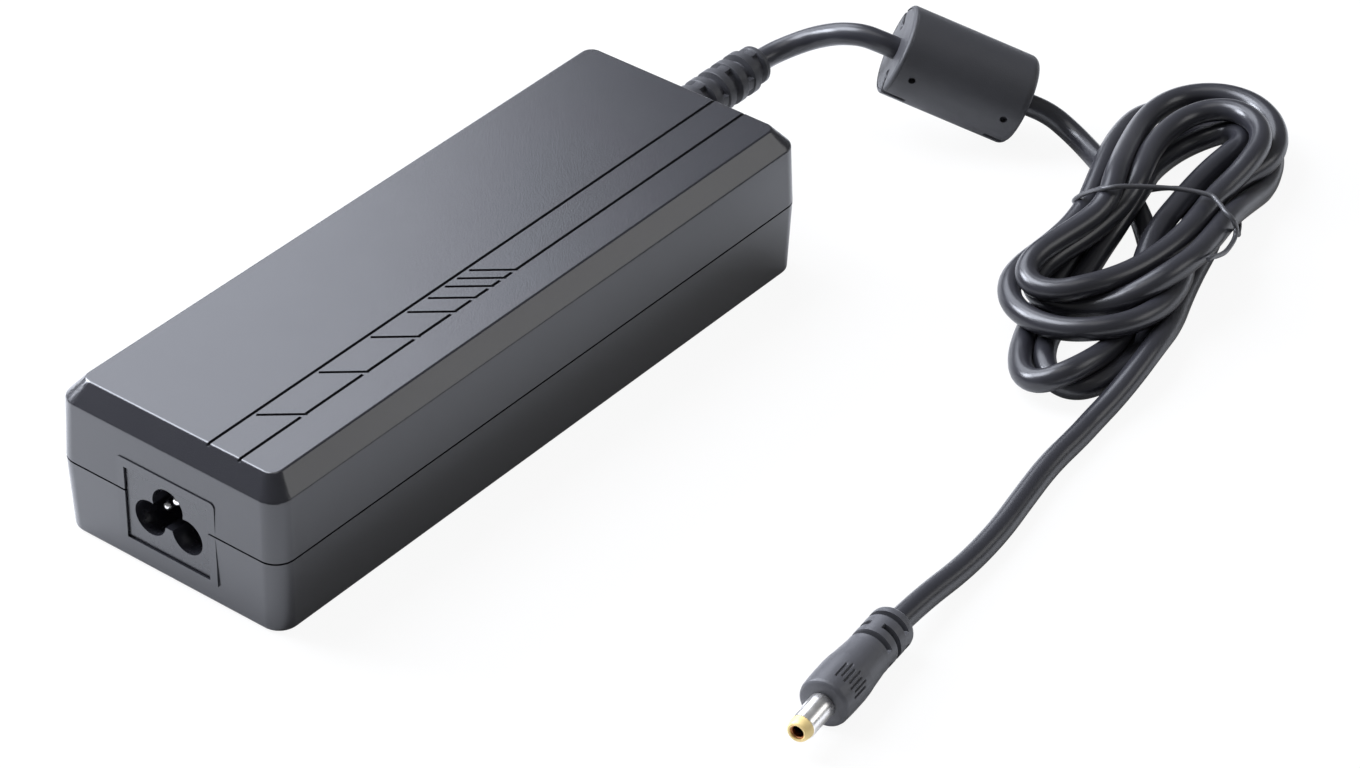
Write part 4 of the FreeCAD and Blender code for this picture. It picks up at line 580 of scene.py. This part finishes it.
def bead_points(along, radius, angle):
    """The drum's points, pushed in by the pin holes, towards the axis, and by the rim slots, towards the axis
    along the side and along the axis on the end faces."""
    sunk = np.zeros_like(along)
    pressed = np.zeros_like(along)
    for hole in HOLE_ANGLES:
        across = angle_from(angle, hole) * BEAD_RADIUS
        for place in (HOLE_INSET, BEAD_LENGTH - HOLE_INSET):
            distance = np.hypot(across, along - place) + FAR * (radius < BEAD_RADIUS - 0.01)
            in_hole = 1 - soft_step(distance, HOLE_RADIUS - 0.12, HOLE_RADIUS + 0.06)
            sunk = np.maximum(sunk, HOLE_DEPTH * in_hole)
    for mark in SLOT_ANGLES:
        turn = np.abs(angle_from(angle, mark))
        across = turn * radius + FAR * (turn > 1)
        narrow = 1 - soft_step(across, SLOT_HALF - 0.15, SLOT_HALF + 0.05)
        near_end = np.minimum(along, BEAD_LENGTH - along)
        on_side = narrow * (1 - soft_step(near_end, SLOT_LENGTH - 0.2, SLOT_LENGTH))
        on_rim = soft_step(radius, BEAD_RADIUS - 1.2, BEAD_RADIUS - 0.9)
        sunk = np.maximum(sunk, on_side * SLOT_DEPTH * on_rim)
        on_end = narrow * soft_step(radius, BEAD_RADIUS - SLOT_REACH - 0.1, BEAD_RADIUS - SLOT_REACH + 0.1)
        pressed = np.maximum(pressed, on_end * SLOT_DEPTH * (1 - soft_step(near_end, 0.0, SLOT_DEPTH)))
    towards_middle = np.where(along < BEAD_LENGTH / 2, pressed, -pressed)
    return turned(BEAD_LEFT, BEAD_AXIS, BEAD_SIDE, BEAD_UP, along + towards_middle, radius - sunk, angle)


# %% [markdown]
# The bead's plastic is duller than the lead, with a fine spark-eroded grain like the case's.

# %% Bead
bead_along, bead_radius = bead_profile()
along_grid, bead_angle_grid = np.meshgrid(bead_along, bead_angles(), indexing="ij")
radius_grid = np.repeat(bead_radius[:, None], along_grid.shape[1], axis=1)
bead_plastic = finish_of("bead_plastic", ((0.036, 0.036, 0.040), (0.045, 0.045, 0.050)), (0.46, 0.56),
                         (0.35, 0.03))
bead_grid = bead_points(along_grid, radius_grid, bead_angle_grid)
bead = add_piece("bead_drum", bead_grid, bead_plastic, ["bead_cover"], closed=True)

# %% [markdown]
# The plug's grip is moulded in one with a short strain relief: three rings, each with a row of slots after
# it, then a smooth sleeve that swells to the part held between finger and thumb. There it has two patches
# of fine grooves. The front is flat, with a chamfer round it.

# %% Plug grip
PLUG_LENGTH = 28.3
PLUG_SIDE = np.cross(PLUG_AXIS, (0, 0, 1.0))
PLUG_SIDE /= np.linalg.norm(PLUG_SIDE)
PLUG_UP = np.cross(PLUG_SIDE, PLUG_AXIS)
BARREL_NECK = 2.25
PLUG_OUTLINE = np.array(((-1.0, 3.3), (-0.85, 3.9), (-0.5, 4.4), (0.0, 4.72), (0.6, 4.85), (11.1, 4.8),
                         (13.5, 5.0), (16.0, 5.22), (18.0, 5.45), (20.0, 5.55), (23.5, 5.55), (25.5, 5.5),
                         (27.4, 5.4), (27.9, 5.25), (PLUG_LENGTH, 4.75)))
PLUG_STOPS = (-1.0, -0.85, -0.5, 0.0, 0.6, 11.1, 20.0, 27.4, 27.9, PLUG_LENGTH)
PLUG_SPACING = 0.14
PLUG_POINTS = 360
# The grip's bore is smaller than the cord too.
PLUG_BITE = 0.05
# Each slot is open over an arc, in degrees from the plug's side over its top: its place, start and end.
RING_SLOTS = ((2.3, 10, 158), (2.3, 190, 338), (5.9, 100, 248), (5.9, -80, 68), (9.2, 10, 158),
              (9.2, 190, 338))
RING_SLOT_WIDTH = 1.35
RING_SLOT_DEPTH = 2.1
RING_SLOT_EDGE = 0.2
GRIP_PLACES = (100, 280)
GRIP_GROOVES = 7
GRIP_PITCH = 10.5
GRIP_SPAN = (20.3, 24.9)
GRIP_DEPTH = 0.35
GRIP_LAG = 0.35
GRIP_EDGE = 0.4


def plug_radius(along, angle):
    """The outline's radius, less the slots between the rings, each open over an arc only, and less the
    grooves of the two grip patches, of which every other one lags a little."""
    radius = np.interp(along, *PLUG_OUTLINE.T)
    for place, start, end in RING_SLOTS:
        half = math.radians(end - start) / 2
        off = np.abs(angle_from(angle, math.radians((start + end) / 2)))
        open_part = 1 - soft_step(off, half - 0.07, half)
        across = band(along, place - RING_SLOT_WIDTH / 2, place + RING_SLOT_WIDTH / 2, RING_SLOT_EDGE)
        radius = radius - RING_SLOT_DEPTH * open_part * across
    for place in GRIP_PLACES:
        turn = angle_from(angle, math.radians(place)) / math.radians(GRIP_PITCH)
        inside = band(turn, -0.5, GRIP_GROOVES - 0.5, 0.05)
        lag = GRIP_LAG * (-1) ** np.round(turn)
        groove = soft_step(np.cos(2 * np.pi * turn), -0.1, 0.8)
        radius = radius - GRIP_DEPTH * inside * groove * band(along - lag, *GRIP_SPAN, GRIP_EDGE)
    return radius


plug_along = steps_of(PLUG_STOPS, PLUG_SPACING)
plug_angle = np.linspace(0, 2 * np.pi, PLUG_POINTS, endpoint=False)
plug_s, plug_t = np.meshgrid(plug_along, plug_angle, indexing="ij")
plug_r = plug_radius(plug_s, plug_t)
barrel_seat = np.full((1, PLUG_POINTS), BARREL_NECK)
cord_seat = np.full((1, PLUG_POINTS), CORD_RADIUS - PLUG_BITE)
plug_grid = turned(PLUG_START, PLUG_AXIS, PLUG_SIDE, PLUG_UP,
                   np.concatenate([plug_s, plug_s[-1:], plug_s[:1]]),
                   np.concatenate([plug_r, barrel_seat, cord_seat]),
                   np.concatenate([plug_t, plug_t[:2]]))
plug_plastic = finish_of("plug_plastic", ((0.068, 0.068, 0.075), (0.084, 0.084, 0.092)), (0.38, 0.46),
                         (0.30, 0.03))
plug_grip = add_piece("plug_body", plug_grid, plug_plastic, ["plug_grip"], closed=True)

# %% [markdown]
# The barrel is a thin tube of brass plated with nickel. It is a turned profile with a rounded lip, and its
# finish is a bright metal, slightly rough and with a very fine grain, which softens what it mirrors.

# %% Barrel, tip and contact
BARREL_END = PLUG_LENGTH + 8.0
TIP_END = BARREL_END + 2.2
CONTACT_BACK = TIP_END - 9.5
BURIED_FROM = PLUG_LENGTH - 12
BARREL_RADIUS = 2.75
BARREL_BORE = 1.9
TIP_BORE = 1.55
CONTACT_BORE = 1.25
NEAR_AXIS = 0.01


def turned_piece(name, profile, material, replaced, points=96):
    """A piece turned about the plug's axis. The profile gives distance and radius, in order round its
    section."""
    along, radius = np.asarray(profile, float).T
    s, t = np.meshgrid(along, np.linspace(0, 2 * np.pi, points, endpoint=False), indexing="ij")
    r = np.repeat(radius[:, None], points, axis=1)
    grid = turned(PLUG_START, PLUG_AXIS, PLUG_SIDE, PLUG_UP, s, r, t)
    return add_piece(name, grid, material, replaced, closed=True, sharp=30)


barrel_profile = [(BURIED_FROM, BARREL_NECK), (PLUG_LENGTH + 0.2, BARREL_NECK), (PLUG_LENGTH + 0.2, 2.7),
                  (PLUG_LENGTH + 0.25, BARREL_RADIUS), (BARREL_END - 0.25, BARREL_RADIUS),
                  (BARREL_END - 0.08, 2.72), (BARREL_END, 2.62), (BARREL_END, BARREL_BORE),
                  (BURIED_FROM, BARREL_BORE)]
barrel_metal = finish_of("barrel_metal", ((0.92, 0.90, 0.87), (0.97, 0.95, 0.93)), (0.25, 0.33),
                         (0.5, 0.004), metallic=1.0)
barrel = turned_piece("plug_barrel_tube", barrel_profile, barrel_metal, ["plug_barrel"])
tip_profile = [(BURIED_FROM, BARREL_BORE), (BARREL_END, BARREL_BORE), (BARREL_END, 2.6),
               (BARREL_END + 0.6, 2.58), (TIP_END - 0.5, 2.3), (TIP_END - 0.15, 2.15), (TIP_END, 1.95),
               (TIP_END, 1.72), (TIP_END - 0.12, TIP_BORE), (BURIED_FROM, TIP_BORE)]
tip_plastic = finish_of("tip_plastic", ((0.86, 0.63, 0.24), (0.93, 0.73, 0.34)), (0.28, 0.38), (0.4, 0.01))
tip = turned_piece("plug_tip_ring", tip_profile, tip_plastic, ["plug_insulator"])
contact_profile = [(BURIED_FROM, TIP_BORE), (TIP_END - 0.4, TIP_BORE), (TIP_END - 0.4, 1.35),
                   (TIP_END - 0.55, CONTACT_BORE), (CONTACT_BACK, CONTACT_BORE), (CONTACT_BACK, NEAR_AXIS),
                   (BURIED_FROM, NEAR_AXIS)]
contact_metal = finish_of("contact_metal", ((0.42, 0.17, 0.08), (0.52, 0.24, 0.11)), (0.25, 0.4),
                          (0.5, 0.004), metallic=1.0)
contact = turned_piece("plug_contact_sleeve", contact_profile, contact_metal,
                       ["plug_contact"], points=64)

# %% [markdown]
# A thin covered wire ties the hank at its waist. It is drawn tight: from the left it climbs over the
# topmost strand, runs straight over the gap to the right-hand strands and goes round them and back
# underneath. Its free end curls out at the right. Both are tubes along listed points, smoothed by a
# cubic through them.

# %% Tie
TIE_RADIUS = 0.55
TIE_RINGS = 240
TIE_END_RINGS = 60
TIE_POINTS = np.array(((68.6, 133.9, 7.6), (71.5, 132.7, 11.3), (75.0, 130.7, 14.6), (78.0, 129.5, 17.1),
                       (80.1, 129.8, 18.1), (81.7, 131.8, 18.1), (85.2, 136.8, 16.9), (90.7, 141.8, 16.0),
                       (96.5, 144.6, 15.5), (99.3, 143.8, 15.3), (102.4, 141.9, 15.1), (104.5, 141.5, 14.3),
                       (105.3, 142.3, 12.0), (104.1, 145.0, 8.5), (100.5, 152.0, 3.2), (94.0, 161.0, 0.8),
                       (82.0, 163.1, 0.6), (75.6, 159.7, 0.6), (70.5, 151.0, 0.8), (67.4, 140.0, 3.4)))
TIE_END_POINTS = np.array(((104.6, 143.6, 9.6), (105.3, 142.3, 11.5), (106.1, 140.8, 10.5),
                           (107.1, 137.6, 10.5), (108.1, 133.6, 11.2), (108.8, 129.6, 12.7),
                           (109.1, 126.6, 14.0), (109.2, 124.8, 14.4), (109.6, 123.4, 14.2)))


def smooth_line(points, count, closed):
    """A smooth line through points: the cubic between two of them takes its slopes from their neighbours. An
    open line has the first and last segments left off."""
    if closed:
        t = np.arange(count) / count * len(points)
    else:
        t = 1 + np.linspace(0, 1, count) * (len(points) - 3.001)
    k = t.astype(int)
    u = (t - k)[:, None]
    p0, p1, p2, p3 = (points[(k + shift) % len(points)] for shift in (-1, 0, 1, 2))
    return 0.5 * (2 * p1 + (p2 - p0) * u + (2 * p0 - 5 * p1 + 4 * p2 - p3) * u**2
                  + (3 * p1 - p0 - 3 * p2 + p3) * u**3)


def tube(line, radius, points=14, closed=True):
    """Rings of a radius square to a line. Each ring's side is square to the line and to a fixed direction,
    the one along which the line is shortest."""
    ahead = np.roll(line, -1, axis=0) - np.roll(line, 1, axis=0)
    if not closed:
        ahead[0], ahead[-1] = line[1] - line[0], line[-1] - line[-2]
    ahead /= np.linalg.norm(ahead, axis=1)[:, None]
    fixed = np.eye(3)[np.argmin(np.ptp(line, axis=0))]
    side = np.cross(ahead, fixed)
    side /= np.linalg.norm(side, axis=1)[:, None]
    up = np.cross(side, ahead)
    t = np.linspace(0, 2 * np.pi, points, endpoint=False)[None, :, None]
    return line[:, None] + radius * (np.cos(t) * side[:, None] + np.sin(t) * up[:, None])


tie_cover = finish_of("tie_cover", ((0.055, 0.055, 0.060), (0.075, 0.075, 0.080)), (0.28, 0.36),
                      (0.4, 0.004))
tie_line = smooth_line(TIE_POINTS, TIE_RINGS, closed=True)
tie = add_piece("hank_tie_wire", tube(tie_line, TIE_RADIUS), tie_cover, ["hank_tie"],
                closed=True)
tie_end_line = smooth_line(TIE_END_POINTS, TIE_END_RINGS, closed=False)
tie_end = add_piece("hank_tie_free_end", tube(tie_end_line, TIE_RADIUS, closed=False), tie_cover)

# %% [markdown]

# %% [markdown]
# The case is ABS with a spark-eroded texture, a little lighter where it catches the light. The solids of
# the two halves already have the chamfer, the grooves and the rounded corners. What they lack is smooth
# shading. Plain smoothing would bend the light on the wide flat faces near every rounded edge, so a merged
# copy of each half gets normals of its own, in which the widest flat face at a point decides.

# %% Case
FLAT = math.radians(0.3)
SHARP = math.radians(32)
MERGE_WITHIN = 0.002
SQUARE_MM = 1e6


def region_areas(work):
    """For each face, the area in square millimetres of the flat region that it is part of: the faces joined
    over edges that don't bend."""
    areas = {}
    for face in work.faces:
        if face.index in areas:
            continue
        members, waiting = {face}, [face]
        while waiting:
            for edge in waiting.pop().edges:
                if edge.calc_face_angle(1.0) < FLAT:
                    waiting += [other for other in edge.link_faces if other not in members]
                    members.update(edge.link_faces)
        total = sum(member.calc_area() for member in members) * SQUARE_MM
        areas.update((member.index, total) for member in members)
    return areas


def fans_of(vertex):
    """The faces round a point in groups, each joined over edges that are not sharp."""
    left = set(vertex.link_faces)
    fans = []
    while left:
        fan, waiting = set(), [left.pop()]
        while waiting:
            face = waiting.pop()
            fan.add(face)
            for edge in face.edges:
                if vertex in edge.verts and edge.calc_face_angle(math.pi) < SHARP:
                    waiting += [other for other in edge.link_faces if other in left]
                    left -= set(edge.link_faces)
        fans.append(fan)
    return fans


def corner_normals(work):
    """The normal at each corner of each face: the mean over its fan, in which a face counts by the square of
    its region's area. So a wide flat face stays flat to its rim, and a narrow rounding blends into it."""
    areas = region_areas(work)
    normals = {}
    for vertex in work.verts:
        for fan in fans_of(vertex):
            total = sum((face.normal * areas[face.index] ** 2 for face in fan), Vector())
            normals.update(((face.index, vertex.index), total.normalized()) for face in fan)
    return [normals[face.index, loop.vert.index] for face in work.faces for loop in face.loops]


def smooth_copy(node, name, material):
    """A copy of a node's mesh with its doubled points merged, its flat faces shaded flat, its roundings
    smooth and its sharp edges kept."""
    mesh = NODES[node].data.copy()
    mesh.name = name
    work = bmesh.new()
    work.from_mesh(mesh)
    bmesh.ops.remove_doubles(work, verts=work.verts, dist=MERGE_WITHIN * MM)
    work.normal_update()
    work.verts.index_update()
    work.faces.index_update()
    normals = corner_normals(work)
    work.to_mesh(mesh)
    work.free()
    mesh.shade_smooth()
    mesh.set_sharp_from_angle(angle=SHARP)
    mesh.normals_split_custom_set(normals)
    mesh.materials.clear()
    mesh.materials.append(material)
    piece = bpy.data.objects.new(name, mesh)
    bpy.context.scene.collection.objects.link(piece)
    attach(piece, "root")
    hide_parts(node)
    print(name, "points", len(mesh.vertices))


case_plastic = finish_of("case_plastic", ((0.014, 0.014, 0.018), (0.018, 0.018, 0.022)), (0.250, 0.262),
                         (0.45, 0.018), ior=1.65, tint_size=30)
smooth_copy("top_cover", "top_shell", case_plastic)
smooth_copy("bottom_case", "bottom_shell", case_plastic)

# %% [markdown]
# The mains inlet is a separate moulding in a slightly smoother plastic, set half a millimetre back in its
# frame. Three nickel-plated pins stand at the bottom of its three-lobed socket.

# %% Inlet
inlet_plastic = finish_of("inlet_plastic", ((0.014, 0.014, 0.018), (0.018, 0.018, 0.022)), (0.27, 0.28),
                          (0.4, 0.006), ior=1.65)
smooth_copy("inlet_block", "inlet_moulding", inlet_plastic)
pin_metal = finish_of("pin_metal", ((0.80, 0.79, 0.76), (0.88, 0.87, 0.85)), (0.14, 0.22), (0.6, 0.004),
                      metallic=1.0)
for node in ("line_pin", "neutral_pin", "earth_pin"):
    smooth_copy(node, node + "_plated", pin_metal)

# %% [markdown]
# Inside the case nothing shows, but the solids are there for whoever opens the model, so each gets the
# finish of the real component: lacquered board, bare aluminium, printed sleeves left plain, dark ferrite,
# enamelled copper.

# %% Inner finishes
INNER_GRAIN = (0.4, 0.02)
# Each finish has two colours, its gloss, how metallic it is and the nodes that get it.
INNER = {
    "board": ((0.02, 0.13, 0.05), (0.03, 0.17, 0.07), (0.3, 0.4), 0.0, "circuit_board"),
    "sheet": ((0.62, 0.60, 0.52), (0.68, 0.66, 0.58), (0.4, 0.5), 0.0, "insulation_sheet"),
    "fuse_body": ((0.35, 0.30, 0.22), (0.42, 0.36, 0.27), (0.35, 0.45), 0.0, "fuse"),
    "disc_blue": ((0.03, 0.09, 0.30), (0.05, 0.12, 0.36), (0.3, 0.4), 0.0, "varistor y_capacitor"),
    "disc_dark": ((0.03, 0.04, 0.03), (0.05, 0.06, 0.05), (0.4, 0.5), 0.0, "thermistor"),
    "film_box": ((0.60, 0.42, 0.06), (0.68, 0.50, 0.10), (0.35, 0.45), 0.0, "x_capacitor"),
    "ferrite": ((0.05, 0.05, 0.05), (0.08, 0.08, 0.08), (0.5, 0.65), 0.0,
                "line_choke_core boost_inductor_core transformer_core bead_core"),
    "copper_wire": ((0.55, 0.20, 0.07), (0.68, 0.28, 0.10), (0.25, 0.35), 0.8,
                    "line_choke_windings boost_inductor_winding"),
    "winding_tape": ((0.62, 0.46, 0.05), (0.70, 0.54, 0.09), (0.3, 0.4), 0.0, "transformer_winding"),
    "former": ((0.03, 0.03, 0.03), (0.05, 0.05, 0.05), (0.4, 0.5), 0.0, "transformer_bobbin line_choke_base"),
    "package_resin": ((0.02, 0.02, 0.02), (0.035, 0.035, 0.035), (0.5, 0.6), 0.0,
                      "bridge_rectifier switching_transistor output_rectifier optocoupler controller_chip"),
    "sheet_aluminium": ((0.68, 0.69, 0.70), (0.76, 0.77, 0.78), (0.3, 0.4), 1.0,
                        "primary_heatsink secondary_heatsink heat_spreader"),
    "can_sleeve": ((0.02, 0.03, 0.06), (0.03, 0.04, 0.08), (0.25, 0.35), 0.0,
                   "bulk_capacitor output_capacitors"),
    "choke_sleeve": ((0.02, 0.02, 0.02), (0.04, 0.04, 0.04), (0.3, 0.4), 0.0, "output_choke"),
    "screw_steel": ((0.60, 0.60, 0.60), (0.70, 0.70, 0.70), (0.2, 0.3), 1.0, "heatsink_screws"),
    "thermal_pad": ((0.45, 0.46, 0.50), (0.52, 0.53, 0.57), (0.5, 0.6), 0.0, "thermal_pads"),
    "wire_red": ((0.45, 0.02, 0.02), (0.55, 0.03, 0.03), (0.3, 0.4), 0.0, "lead_positive"),
    "wire_black": ((0.012, 0.012, 0.014), (0.02, 0.02, 0.022), (0.3, 0.4), 0.0, "lead_negative"),
}


def dress(node, material):
    """A material on a node's own mesh, in place of what it had."""
    NODES[node].data.materials.clear()
    NODES[node].data.materials.append(material)
    return node


dressed = [dress("cord_tail", cord_pvc)]
for finish, (first, second, gloss, metallic, nodes) in INNER.items():
    material = finish_of(finish, (first, second), gloss, INNER_GRAIN, metallic=metallic)
    dressed += [dress(node, material) for node in nodes.split()]
print("inner nodes with a finish:", len(dressed))
